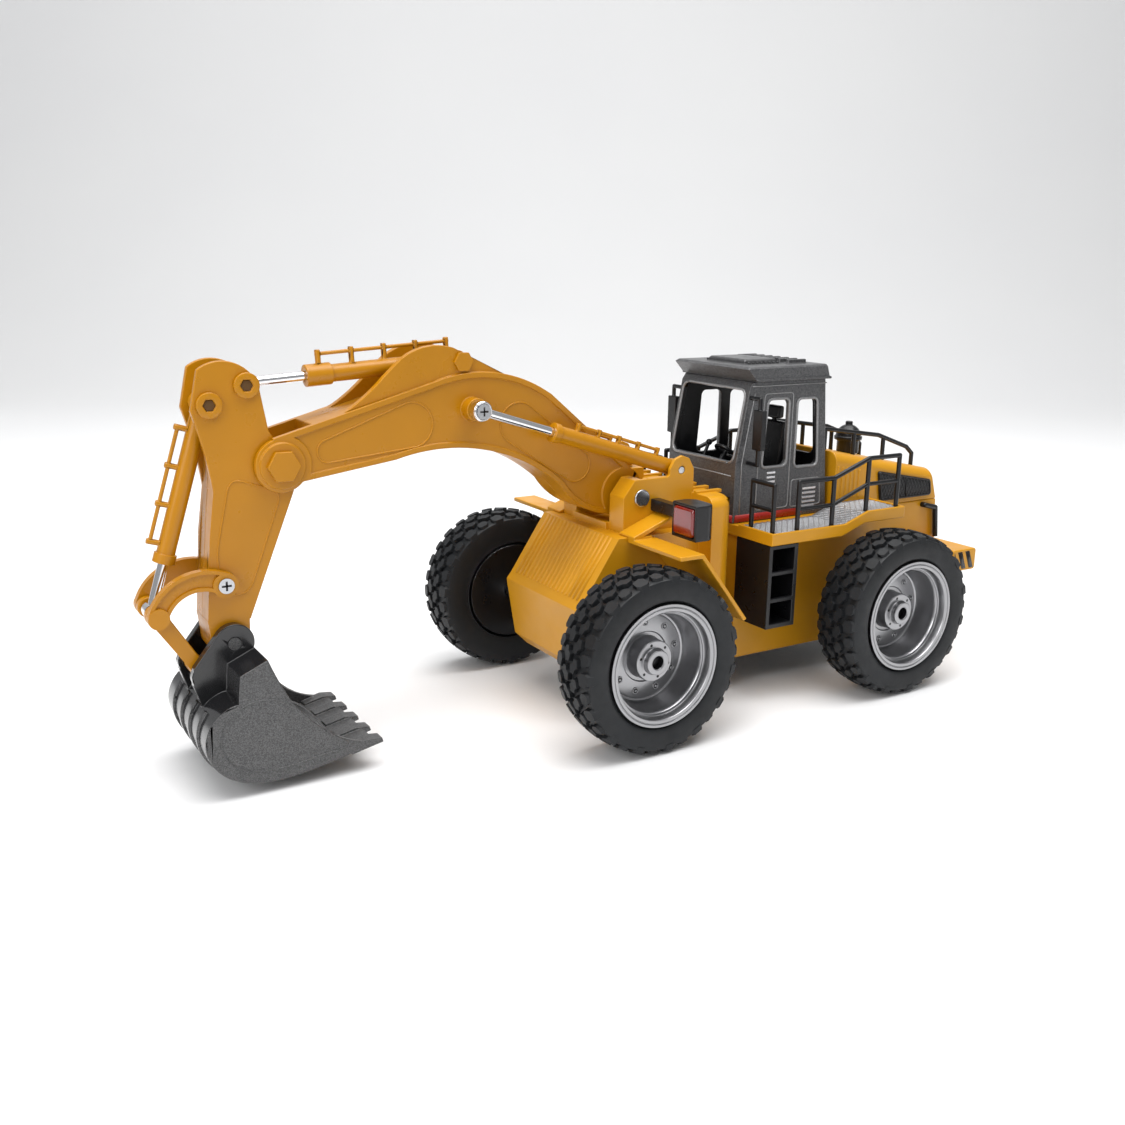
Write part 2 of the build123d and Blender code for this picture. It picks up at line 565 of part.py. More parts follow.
def rear_section():
    export("rear_hull", rear_hull())
    export("rear_base_plate", rear_base_plate())
    export("battery_cover", block((-107.9, -78.1), (-12.9, 12.9), (REAR_UNDERSIDE, REAR_UNDERSIDE + PLATE)))
    export("battery_pack", block((-103.6, -79.0), (-12.0, 12.0), (15.2, 27.5)))
    board = block((-100.0, -66.0), (-16.0, 16.0), (50.0, 51.6))
    chips = [block((-90, -80), (-5, 5), (51.6, 53.4)), block((-76, -71), (4, 10), (51.6, 54.6))]
    export("circuit_board", board + chips[0] + chips[1])
    export("drive_motor", Pos(-140.0, 0, TYRE_RADIUS) * Rot(0, 90, 0) * Cylinder(7.0, 19))
    box = block((-128.5, -104.2), (-9.0, 9.0), (19.0, 45.0))
    box = box - block((-127.3, -105.4), (-7.4, 7.4), (20.6, 43.4))
    box = box - cross_pin((-WHEELBASE, TYRE_RADIUS), AXLE_RADIUS + PIN_GAP, -30, 30)
    export("gearbox_casing", box)
    export("steering_gearmotor", gearmotor(-78, 0, 38, 6.0, 14, (7, 15, 14)))
    export("steering_hinge_pin", Pos(HINGE_X, 0, 39) * Cylinder(AXLE_RADIUS, 23.8))
    export("deck_frame", deck_frame())
    export("grip_plates", grip_plates())
    export("step_boxes", [step_box(side) for side in SIDES])
    export("cab_shell", cab_shell())
    export("cab_roof", cab_roof())
    export("driver_seat", seat())
    export("cab_controls", cab_controls())
    export("cab_mirrors", [cab_mirror(side) for side in SIDES])
    export("hood", hood())
    export("hood_grilles", [hood_grille(side) for side in SIDES])
    export("hood_rails", [hood_rail(side) for side in SIDES])
    export("deck_rails", deck_rails(1) + deck_rails(-1))
    export("air_cleaner", air_cleaner())
    export("engine_pipes", [engine_pipe(side) for side in SIDES])
    export("rear_bumper", rear_bumper())
    knob = block((-70.6, -68.4), (-1.5, 1.5), (REAR_UNDERSIDE + 0.2, 17.0))
    export("power_switch", knob + block((-72.2, -66.8), (-2.6, 2.6), (15.1, 16.4)))
    export("rear_case_screws", screws(REAR_SCREW_SPOTS, REAR_UNDERSIDE))


# ---------------------------------------------------------------- digging arm
def boom_face():
    """The boom's arched side: straight front, round back, tapering to the root."""
    return make_face([
        Line((112.2, 108.3), (58.0, 123.4)),
        ThreePointArc((58.0, 123.4), (36.0, 125.6), (14.1, 117.5)),
        Line((14.1, 117.5), (-23.0, 86.5)),
        Line((-23.0, 86.5), (-12.0, 72.6)),
        ThreePointArc((-12.0, 72.6), (0.6, 76.4), (10.0, 85.2)),
        ThreePointArc((10.0, 85.2), (37.0, 99.2), (72.0, 98.9)),
        Line((72.0, 98.9), (104.6, 94.2)),
        Line((104.6, 94.2), (112.2, 108.3))])


def cheek_face():
    """The hump that carries the stick cylinder's base."""
    return make_face([
        ThreePointArc((93.0, 112.6), (83.0, 118.6), (75.0, 125.6)),
        Line((75.0, 125.6), (69.0, 131.0)),
        ThreePointArc((69.0, 131.0), (60.0, 134.7), (50.5, 134.0)),
        Line((50.5, 134.0), (25.0, 121.5)),
        Line((25.0, 121.5), (93.0, 112.6))])


def boom():
    side = boom_face()
    solid = slab(side, -BOOM_HALF, BOOM_HALF)
    solid = solid + cross_pin(BOOM_PIVOT, 8.6, -BOOM_HALF, BOOM_HALF)
    solid = solid + cross_pin(STICK_PIVOT, 8.4, -BOOM_HALF, BOOM_HALF)
    hollow = offset(side, amount=-2.2)
    solid = solid - slab(hollow, -CHEEK_INNER - 1.2, CHEEK_INNER + 1.2)
    for s in SIDES:
        recess = offset(side, amount=-1.9)
        cut = slab(recess, *sorted((s * (BOOM_HALF - 0.7), s * (BOOM_HALF + 1))))
        cut = cut - cross_pin(STICK_PIVOT, 9.4, -20, 20) - cross_pin(BOOM_PIVOT, 9.6, -20, 20)
        solid = solid - cut
    trough = polygon((36.0, 140.0), (36.0, 122.2), (72.0, 118.0), (76.0, 140.0))
    solid = solid - slab(trough, -CHEEK_INNER, CHEEK_INNER)
    floor = polygon((34.0, 122.4), (34.0, 120.2), (74.0, 115.2), (74.0, 117.4))
    solid = solid + slab(floor, -BOOM_HALF + 1, BOOM_HALF - 1)
    for s in SIDES:
        cheek = slab(cheek_face(), *sorted((s * CHEEK_INNER, s * CHEEK_OUTER)))
        boss = cross_pin(BOOM_EYE, 3.9, s * (BOOM_HALF - 1.5), s * 13.4)
        solid = solid + cheek + boss
        solid = solid + cross_pin(STICK_PIVOT, 7.2, s * BOOM_HALF, s * (BOOM_HALF + 0.9))
    fork = block((99.3, 125.0), (-FORK_INNER, FORK_INNER), (80.0, 115.0))
    solid = solid - fork
    solid = solid + block((97.6, 99.3), (-FORK_INNER - 0.5, FORK_INNER + 0.5), (96.2, 110.6))
    solid = solid - cross_pin(BOOM_PIVOT, 2.5 + PIN_GAP, -12, 12)
    solid = solid - cross_pin(STICK_PIVOT, 2.5, -12, 12)
    solid = solid - cross_pin(STICK_CYLINDER_BASE, 1.6, -12, 12)
    return solid


def half(solid, side):
    """The part of a casting on one side of its middle seam."""
    return solid & block((-300, 300), sorted((0, side * 60)), (0, 300))


def hex_bolt_pair(centre, across, seat_y, head):
    """Hexagon heads with short shanks, one each side."""
    return [cross_hex(centre, across, side * seat_y, side * (seat_y + head)) for side in SIDES]


def boom_section():
    whole = boom()
    export("boom_left", half(whole, 1))
    export("boom_right", half(whole, -1))
    pivot = cross_pin(STICK_PIVOT, 2.5, -BOOM_HALF - 0.9, BOOM_HALF + 0.9)
    for head in hex_bolt_pair(STICK_PIVOT, 5.3, BOOM_HALF + 0.9, 1.6):
        pivot = pivot + head
    export("stick_pivot_bolt", pivot)
    base = cross_pin(STICK_CYLINDER_BASE, 1.6, -CHEEK_OUTER, CHEEK_OUTER)
    for head in hex_bolt_pair(STICK_CYLINDER_BASE, 3.5, CHEEK_OUTER, 1.2):
        base = base + head
    export("cylinder_base_bolt", base)


def cylinder_barrel(
        base, eye, y, barrel_radius, length, collar_radius, collar_length, pin_radius, rod_radius, eye_half):
    """Base eye, tube and front collar, bored for its rod."""
    nose = along(base, eye, length)
    collar_start = along(base, eye, length - collar_length)
    tube_start = along(base, eye, pin_radius + 1.0)
    body = run(at_y(tube_start, y), at_y(nose, y), barrel_radius)
    body = body + run(at_y(collar_start, y), at_y(nose, y), collar_radius)
    body = body + cross_pin(base, pin_radius + 1.9, y - eye_half, y + eye_half)
    bore_start = along(base, eye, pin_radius + 3.2)
    beyond = along(base, eye, length + 1)
    body = body - run(at_y(bore_start, y), at_y(beyond, y), rod_radius + PIN_GAP)
    return body - cross_pin(base, pin_radius + PIN_GAP, y - eye_half - 1, y + eye_half + 1)


def cylinder_rod(base, eye, y, start, rod_radius, eye_radius, eye_half, pin_radius):
    """Chrome rod with a round eye at its free end."""
    rod = run(at_y(along(base, eye, start), y), at_y(eye, y), rod_radius)
    rod = rod + cross_pin(eye, eye_radius, y - eye_half, y + eye_half)
    return rod - cross_pin(eye, pin_radius, y - eye_half - 1, y + eye_half + 1)


def oil_pipe(base, eye, y, offset_up, first, last, foot, count):
    """A thin pipe held off a barrel by small brackets that start inside the barrel's wall."""
    length = hypot(eye[0] - base[0], eye[1] - base[1])
    up = (-(eye[1] - base[1]) / length * offset_up, (eye[0] - base[0]) / length * offset_up)

    def raised(distance, share=1.0):
        point = along(base, eye, distance)
        return (point[0] + up[0] * share, y, point[1] + up[1] * share)

    pipe = run(raised(first), raised(last), 0.6)
    inner = foot / offset_up
    for i in range(count):
        distance = first + 0.8 + (last - first - 1.6) * i / (count - 1)
        pipe = pipe + run(raised(distance, inner), raised(distance, 1.2), 0.9)
    return pipe


def cylinders():
    barrels = []
    rods = []
    eye_screws = []
    for side in SIDES:
        y = side * BOOM_CYLINDER_Y
        barrel = cylinder_barrel(LUG_PIVOT, BOOM_EYE, y, 2.9, 55.0, 3.4, 2.4, 1.5, 1.6, 2.3)
        barrels.append(barrel + oil_pipe(LUG_PIVOT, BOOM_EYE, y, 4.6, 9.0, 46.0, 2.5, 5))
        rods.append(cylinder_rod(LUG_PIVOT, BOOM_EYE, y, 13.2, 1.6, 3.4, 1.8, 1.5))
        screw = cross_pin(BOOM_EYE, 1.5, y - side * 1.8, y + side * 1.8)
        screw = screw + cross_pin(BOOM_EYE, 2.5, y + side * 1.8, y + side * 2.6)
        eye_screws.append(screw)
    export("boom_cylinder_barrels", barrels)
    export("boom_cylinder_rods", rods)
    export("boom_eye_screws", eye_screws)
    barrel = cylinder_barrel(STICK_CYLINDER_BASE, STICK_CYLINDER_EYE, 0, 2.8, 51.0, 3.5, 8.4, 1.6, 1.5, 4.6)
    export("stick_cylinder_barrel", barrel + oil_pipe(
        STICK_CYLINDER_BASE, STICK_CYLINDER_EYE, 0, 6.4, 1.0, 47.0, 2.4, 5))
    rod = cylinder_rod(STICK_CYLINDER_BASE, STICK_CYLINDER_EYE, 0, 14.0, 1.5, 3.0, 3.0, 1.0)
    export("stick_cylinder_rod", rod)
    barrel = cylinder_barrel(BUCKET_CYLINDER_BASE, ROCKER_END, 0, 2.8, 50.0, 3.4, 3.0, 1.5, 1.6, 3.8)
    export("bucket_cylinder_barrel", barrel + oil_pipe(
        BUCKET_CYLINDER_BASE, ROCKER_END, 0, 5.4, 8.0, 45.0, 2.4, 4))
    export("bucket_cylinder_rod", cylinder_rod(BUCKET_CYLINDER_BASE, ROCKER_END, 0, 14.0, 1.6, 2.6, 2.2, 1.0))


def stick_face():
    """The stick's side: waist at the boom's nose, flared top, straight taper down."""
    return make_face([
        Line((133.0, 129.6), (135.6, 117.5)),
        ThreePointArc((135.6, 117.5), (132.4, 105.4), (130.4, 93.0)),
        Line((130.4, 93.0), (132.4, 79.0)),
        Line((132.4, 79.0), (134.6, 52.0)),
        Line((134.6, 52.0), (121.4, 52.0)),
        Line((121.4, 52.0), (105.8, 90.6)),
        ThreePointArc((105.8, 90.6), (105.2, 98.0), (108.6, 104.0)),
        Line((108.6, 104.0), (112.6, 110.6)),
        Line((112.6, 110.6), (114.9, 124.4)),
        ThreePointArc((114.9, 124.4), (121.0, 131.0), (133.0, 129.6))])


def stick():
    side = stick_face()
    solid = slab(side, -STICK_HALF, STICK_HALF)
    solid = solid + cross_pin(BUCKET_PIVOT, 6.2, -STICK_HALF, STICK_HALF)
    foot = polygon((121.6, 53.0), (121.9, 44.0), (133.5, 44.0), (134.6, 53.0))
    solid = solid + slab(foot, -STICK_HALF, STICK_HALF)
    solid = solid - slab(offset(side, amount=-2.0), -STICK_HALF + 2.0, STICK_HALF - 2.0)
    clevis = polygon(
        (100.0, 140.0), (100.0, 114.5), (128.6, 107.5), (128.6, 105.0), (150.0, 105.0), (150.0, 140.0))
    solid = solid - slab(clevis, -STICK_HALF + 2.0, STICK_HALF - 2.0)
    front_slot = polygon((129.0, 107.5), (134.0, 60.0), (150.0, 60.0), (150.0, 108.0))
    web = polygon((128.6, 107.0), (128.6, 60.0), (130.2, 60.0), (130.2, 107.0)) & side
    solid = solid + slab(web, -STICK_HALF + 1, STICK_HALF - 1)
    solid = solid - slab(front_slot, -STICK_HALF + 2.0, STICK_HALF - 2.0)
    solid = solid + cross_pin(STICK_PIVOT, 5.0, -STICK_HALF, STICK_HALF)
    solid = solid - cross_pin(STICK_PIVOT, 2.5 + PIN_GAP, -12, 12)
    solid = solid - cross_pin(BUCKET_PIVOT, 2.0 + PIN_GAP, -12, 12)
    solid = solid - cross_pin(ROCKER_PIVOT, 1.5, -12, 12)
    solid = solid - cross_pin(BUCKET_CYLINDER_BASE, 1.5, -12, 12)
    return solid - cross_pin(STICK_CYLINDER_EYE, 1.5, -12, 12)


def socket_head(centre, y_low, y_high):
    middle = (y_low + y_high) / 2
    return cross_pin(centre, 3.9, y_low, y_high) - cross_hex(centre, 2.1, middle, 2 * y_high - y_low)


def stick_pins():
    """A through pin for the bucket cylinder and two stub pins for the stick cylinder."""
    through = cross_pin(BUCKET_CYLINDER_BASE, 1.5, -STICK_HALF, STICK_HALF)
    stubs = []
    for side in SIDES:
        face = side * STICK_HALF
        through = through + socket_head(BUCKET_CYLINDER_BASE, face, face + side * 1.4)
        stub = cross_pin(STICK_CYLINDER_EYE, 1.5, side * (STICK_HALF - 2.0), face)
        stubs.append(stub + socket_head(STICK_CYLINDER_EYE, face, face + side * 1.4))
    return [through] + stubs


def rocker_link(side):
    """Arched I-section arm from the stick to the bucket link."""
    low, high = sorted((side * (STICK_HALF + SIDE_GAP), side * (STICK_HALF + SIDE_GAP + 2.8)))
    root_top = (ROCKER_PIVOT[0] - 1.2, ROCKER_PIVOT[1] + 3.6)
    root_low = (ROCKER_PIVOT[0] + 0.6, ROCKER_PIVOT[1] - 3.6)
    face = make_face([
        ThreePointArc(root_top, (142.6, 68.6), (152.4, 58.4)),
        Line((152.4, 58.4), (147.0, 55.6)),
        ThreePointArc((147.0, 55.6), (141.0, 62.8), root_low),
        Line(root_low, root_top)])
    arm = slab(face, low, high)
    inset = offset(face, amount=-1.1)
    outer = side * (STICK_HALF + SIDE_GAP + 2.8)
    arm = arm - slab(inset, *sorted((outer - side * 0.8, outer + side)))
    arm = arm + cross_pin(ROCKER_PIVOT, 3.9, low, high)
    arm = arm + cross_pin(ROCKER_END, 3.2, side * EAR_BUCKET_INNER, outer + side * 0.3)
    arm = arm + cross_pin(ROCKER_END, 1.5, side * (LINK_INNER - 0.4), side * EAR_BUCKET_INNER)
    return arm - cross_pin(ROCKER_PIVOT, 1.5 + PIN_GAP, side * 5, side * 14)


def rocker_screw(side):
    inner = side * (STICK_HALF - 2.0)
    outer = side * (STICK_HALF + SIDE_GAP + 2.85)
    shank = cross_pin(ROCKER_PIVOT, 1.5, inner, outer)
    return shank + cross_pin(ROCKER_PIVOT, 2.4, outer, outer + side * 0.7)


def push_link():
    """Two tapered bars from the rockers' ends, joined by the tube that turns between the bucket's ears."""
    link = cross_pin(BUCKET_LINK_PIVOT, 2.7, -LINK_OUTER, LINK_OUTER)
    for side in SIDES:
        low, high = sorted((side * LINK_INNER, side * LINK_OUTER))
        link = link + slab(bar_outline(ROCKER_END, BUCKET_LINK_PIVOT, 2.6, 2.1), low, high)
        link = link + cross_pin(ROCKER_END, 3.2, low, high)
    return link - cross_pin(ROCKER_END, 1.5 + PIN_GAP, -8, 8)


def bucket_back(inset):
    """Side view of the bucket's back and floor; inset moves them inwards."""
    return Spline(
        (131.2 - inset, 31.0 - inset * 0.4), (138.0 - inset * 0.8, 27.8 - inset), (141.9 - inset, 19.4),
        (137.6 - inset * 0.8, 9.4 + inset * 0.7), (130.4 - inset * 0.5, 5.0 + inset), (120.6, 3.6 + inset),
        (103.6, 5.7 + inset), (88.0, 8.9 + inset))


def bucket():
    back = bucket_back(0.0)
    front = Spline((88.0, 10.4), (96.4, 12.2), (108.7, 21.4), (114.6, 28.6), (118.2, 35.4), (121.7, 43.6))
    side = make_face([back, Line((88.0, 8.9), (88.0, 10.4)), front, Line((121.7, 43.6), (130.3, 39.8)),
                      Line((130.3, 39.8), (131.2, 31.0))])
    inner = make_face([
        bucket_back(BUCKET_WALL), Line((88.0, 8.9 + BUCKET_WALL), (60.0, 16.0)),
        Line((60.0, 16.0), (100.0, 60.0)), Line((100.0, 60.0), (119.8, 42.6)),
        Line((119.8, 42.6), (128.7, 38.6)), Line((128.7, 38.6), (131.2 - BUCKET_WALL, 31.0 - BUCKET_WALL * 0.4))])
    shell = slab(side, -BUCKET_HALF, BUCKET_HALF)
    shell = shell - slab(inner, -BUCKET_HALF + BUCKET_WALL, BUCKET_HALF - BUCKET_WALL)
    shell = shell - cross_pin(BUCKET_PIVOT, 7.2, -EAR_BUCKET_INNER, EAR_BUCKET_INNER)
    for i in range(5):
        y = -21.6 + 10.8 * i
        tooth = polygon((96.0, 6.9), (85.0, 9.2), (85.4, 10.6), (90.0, 11.2), (97.0, 9.6))
        shell = shell + slab(tooth, y - 2.4, y + 2.4)
    ear = polygon(
        (121.9, 43.0), (122.6, 49.0), (132.6, 49.6), (140.6, 39.4), (141.0, 34.0), (138.6, 26.4),
        (131.0, 29.6), (128.4, 38.0))
    for hand in SIDES:
        low, high = sorted((hand * EAR_BUCKET_INNER, hand * EAR_BUCKET_OUTER))
        shell = shell + slab(ear, low, high) + cross_pin(BUCKET_PIVOT, 6.3, low, high)
        shell = shell + cross_pin(BUCKET_LINK_PIVOT, 4.4, low, high)
    for y in (-15.0, -5.0, 5.0, 15.0):
        shell = shell + slab(bucket_strip(), y - 1.1, y + 1.1)
    return shell - cross_pin(BUCKET_PIVOT, 2.0, -12, 12)


def bucket_strip():
    """Wear strip that follows the outside of the bucket's back."""
    outer = Spline((139.4, 27.6), (142.6, 19.4), (138.2, 8.8), (130.6, 4.3))
    inner = Spline((130.2, 5.6), (137.0, 10.0), (141.0, 19.4), (138.2, 26.6))
    return make_face([outer, Line((130.6, 4.3), (130.2, 5.6)), inner, Line((138.2, 26.6), (139.4, 27.6))])


def arm_end():
    whole = stick()
    export("stick_left", half(whole, 1))
    export("stick_right", half(whole, -1))
    export("stick_pins", stick_pins())
    export("rocker_links", [rocker_link(side) for side in SIDES])
    export("rocker_screws", [rocker_screw(side) for side in SIDES])
    export("push_link", push_link())
    export("bucket", bucket())
    export("bucket_pivot_pin", cross_pin(BUCKET_PIVOT, 2.0, -EAR_BUCKET_OUTER, EAR_BUCKET_OUTER))


os.makedirs("parts", exist_ok=True)
wheel_set("front", 0.0)
wheel_set("rear", -WHEELBASE)
export("drive_gear", drive_gear(-WHEELBASE))
front_section()
rear_section()
boom_section()
cylinders()
arm_end()
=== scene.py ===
import json
from math import atan2, cos, hypot, pi, radians, sin

import bmesh
import bpy
from mathutils import Matrix, Vector


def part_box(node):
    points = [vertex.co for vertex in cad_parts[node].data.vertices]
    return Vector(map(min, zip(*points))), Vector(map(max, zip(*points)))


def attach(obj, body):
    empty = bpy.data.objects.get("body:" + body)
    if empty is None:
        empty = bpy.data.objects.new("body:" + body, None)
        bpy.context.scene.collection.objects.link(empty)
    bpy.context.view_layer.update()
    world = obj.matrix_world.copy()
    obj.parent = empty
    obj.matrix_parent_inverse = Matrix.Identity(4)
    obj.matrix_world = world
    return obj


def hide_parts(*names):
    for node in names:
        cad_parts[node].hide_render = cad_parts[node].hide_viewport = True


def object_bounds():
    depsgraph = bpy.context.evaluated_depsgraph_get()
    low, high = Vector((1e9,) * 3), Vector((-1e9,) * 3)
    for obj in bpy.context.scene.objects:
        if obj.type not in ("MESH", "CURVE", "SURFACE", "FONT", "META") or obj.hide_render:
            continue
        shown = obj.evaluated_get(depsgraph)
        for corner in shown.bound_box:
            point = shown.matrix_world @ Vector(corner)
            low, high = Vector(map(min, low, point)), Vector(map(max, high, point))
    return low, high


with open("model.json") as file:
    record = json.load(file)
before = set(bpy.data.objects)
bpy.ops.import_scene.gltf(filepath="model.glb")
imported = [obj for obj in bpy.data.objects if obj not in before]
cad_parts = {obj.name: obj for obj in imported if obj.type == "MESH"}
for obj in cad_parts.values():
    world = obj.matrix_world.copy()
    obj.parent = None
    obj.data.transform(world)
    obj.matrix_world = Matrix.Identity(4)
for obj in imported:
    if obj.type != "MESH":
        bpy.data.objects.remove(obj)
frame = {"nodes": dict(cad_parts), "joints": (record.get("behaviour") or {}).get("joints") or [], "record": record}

# ------------------------------------------------------------------ frame and units
MM = 0.001
WELD = 1e-6
SHARP = radians(27)
SIDES = (1, -1)
cad_low, cad_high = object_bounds()

FRONT_AXLE = (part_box("front_axle")[0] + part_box("front_axle")[1]) / 2
REAR_AXLE = (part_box("rear_axle")[0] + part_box("rear_axle")[1]) / 2
PIVOT = {j["name"]: Vector(j["pos_m"]) for j in frame["joints"] if "pos_m" in j}
BODY_OF = {n: b for b, ns in frame["record"]["behaviour"]["bodies"].items() for n in ns}
SLOT_OF = {s["node"]: s["material_slot"] for s in frame["record"]["subparts"]}


def at(x, y, z):
    """A point given in millimetres from the front axle's place on the ground."""
    return Vector((FRONT_AXLE.x + x * MM, y * MM, z * MM))


# ------------------------------------------------------------------ materials
def shader(name):
    material = bpy.data.materials.new(name)
    material.use_nodes = True
    return material, material.node_tree, material.node_tree.nodes["Principled BSDF"]


def node(tree, kind, inputs=None, **settings):
    made = tree.nodes.new(kind)
    for key, value in settings.items():
        setattr(made, key, value)
    for key, value in (inputs or {}).items():
        if isinstance(value, bpy.types.NodeSocket):
            tree.links.new(value, made.inputs[key])
        else:
            made.inputs[key].default_value = value
    return made


def coordinates(tree, stretch=(1, 1, 1)):
    place = node(tree, "ShaderNodeTexCoord").outputs["Object"]
    return node(tree, "ShaderNodeMapping", {"Vector": place, "Scale": stretch}).outputs["Vector"]


def noise(tree, scale, detail=3.0, stretch=(1, 1, 1)):
    inputs = {"Vector": coordinates(tree, stretch), "Scale": scale, "Detail": detail, "Roughness": 0.55}
    return node(tree, "ShaderNodeTexNoise", inputs).outputs["Fac"]


def cells(tree, scale):
    return node(tree, "ShaderNodeTexVoronoi", {"Vector": coordinates(tree), "Scale": scale})


def ramp(tree, fac, *stops):
    made = node(tree, "ShaderNodeValToRGB", {"Fac": fac})
    elements = made.color_ramp.elements
    while len(elements) < len(stops):
        elements.new(0.5)
    for element, (position, colour) in zip(elements, stops):
        element.position = position
        element.color = (*colour, 1.0) if len(colour) == 3 else colour
    return made.outputs["Color"]


def spread(tree, fac, low, high):
    """The middle of a 0 to 1 value mapped onto a range."""
    inputs = {"Value": fac, "From Min": 0.3, "From Max": 0.7, "To Min": low, "To Max": high}
    return node(tree, "ShaderNodeMapRange", inputs).outputs[0]


def bump(tree, height, strength, distance, under=None):
    inputs = {"Height": height, "Strength": strength, "Distance": distance}
    if under is not None:
        inputs["Normal"] = under
    return node(tree, "ShaderNodeBump", inputs).outputs["Normal"]


def tint(colour, factor):
    return tuple(c * factor for c in colour)


def moulded_plastic(name, colour, rough=0.34, coat=0.06, patch=0.05, wave=0.05):
    """Injection-moulded plastic: faint colour drift, fine grain and slow flow waves."""
    material, tree, bsdf = shader(name)
    drift = noise(tree, 28, detail=4)
    paint = ramp(tree, drift, (0.35, tint(colour, 1 - patch)), (0.65, tint(colour, 1 + patch)))
    tree.links.new(paint, bsdf.inputs["Base Color"])
    gloss = spread(tree, noise(tree, 160, detail=5), rough - 0.05, rough + 0.07)
    tree.links.new(gloss, bsdf.inputs["Roughness"])
    fine = bump(tree, noise(tree, 2600, detail=2), 0.25, 0.04 * MM)
    tree.links.new(bump(tree, noise(tree, 70, detail=1), wave, 0.6 * MM, fine), bsdf.inputs["Normal"])
    bsdf.inputs["Specular IOR Level"].default_value = 0.4
    bsdf.inputs["Coat Weight"].default_value = coat
    bsdf.inputs["Coat Roughness"].default_value = 0.22
    return material


def flake_paint(name, colour, contrast, metallic, rough):
    """Metallic paint with fine flakes, a little darker and brighter than its mean colour."""
    material, tree, bsdf = shader(name)
    flakes = cells(tree, 4200)
    spark = node(tree, "ShaderNodeSeparateColor", {"Color": flakes.outputs["Color"]}).outputs["Red"]
    fine = ramp(tree, spark, (0.1, tint(colour, 1 - contrast)), (0.9, tint(colour, 1 + contrast)))
    drift = noise(tree, 60, detail=4)
    soft = ramp(tree, drift, (0.3, (0.96, 0.96, 0.96)), (0.7, (1.0, 1.0, 1.0)))
    both = node(tree, "ShaderNodeMix", {0: 1.0, 6: fine, 7: soft}, data_type="RGBA", blend_type="MULTIPLY")
    tree.links.new(both.outputs[2], bsdf.inputs["Base Color"])
    gloss = spread(tree, noise(tree, 220, detail=4), rough - 0.05, rough + 0.08)
    tree.links.new(gloss, bsdf.inputs["Roughness"])
    tree.links.new(bump(tree, spark, contrast * 0.6, 0.02 * MM), bsdf.inputs["Normal"])
    bsdf.inputs["Metallic"].default_value = metallic
    return material


def polished_metal(name, colour, rough, stretch=(1, 1, 1), scale=900, relief=0.12):
    """Bare or plated metal, with fine marks that relief makes stronger or fainter."""
    material, tree, bsdf = shader(name)
    marks = noise(tree, scale, stretch=stretch)
    paint = ramp(tree, marks, (0.3, tint(colour, 1 - relief)), (0.7, colour))
    tree.links.new(paint, bsdf.inputs["Base Color"])
    tree.links.new(spread(tree, marks, rough * (1 - relief), rough * (1 + relief)), bsdf.inputs["Roughness"])
    tree.links.new(bump(tree, marks, relief, 0.02 * MM), bsdf.inputs["Normal"])
    bsdf.inputs["Metallic"].default_value = 1.0
    return material


def rubber(name, colour):
    """Matt tyre rubber with a little dust on it."""
    material, tree, bsdf = shader(name)
    dust = noise(tree, 55, detail=6)
    paint = ramp(tree, dust, (0.35, tint(colour, 0.8)), (0.75, tint(colour, 1.6)))
    tree.links.new(paint, bsdf.inputs["Base Color"])
    tree.links.new(spread(tree, noise(tree, 240, detail=5), 0.48, 0.62), bsdf.inputs["Roughness"])
    fine = bump(tree, noise(tree, 1800, detail=4), 0.4, 0.06 * MM)
    tree.links.new(bump(tree, noise(tree, 260), 0.25, 0.2 * MM, fine), bsdf.inputs["Normal"])
    bsdf.inputs["Specular IOR Level"].default_value = 0.4
    return material


def lens_red(name):
    """Glossy red plastic with slow, faint colour drift."""
    material, tree, bsdf = shader(name)
    depth = noise(tree, 90, detail=1)
    paint = ramp(tree, depth, (0.3, (0.15, 0.001, 0.002)), (0.7, (0.23, 0.003, 0.004)))
    tree.links.new(paint, bsdf.inputs["Base Color"])
    tree.links.new(bump(tree, depth, 0.05, 0.4 * MM), bsdf.inputs["Normal"])
    bsdf.inputs["Roughness"].default_value = 0.15
    bsdf.inputs["Coat Weight"].default_value = 1.0
    bsdf.inputs["Coat Roughness"].default_value = 0.04
    return material


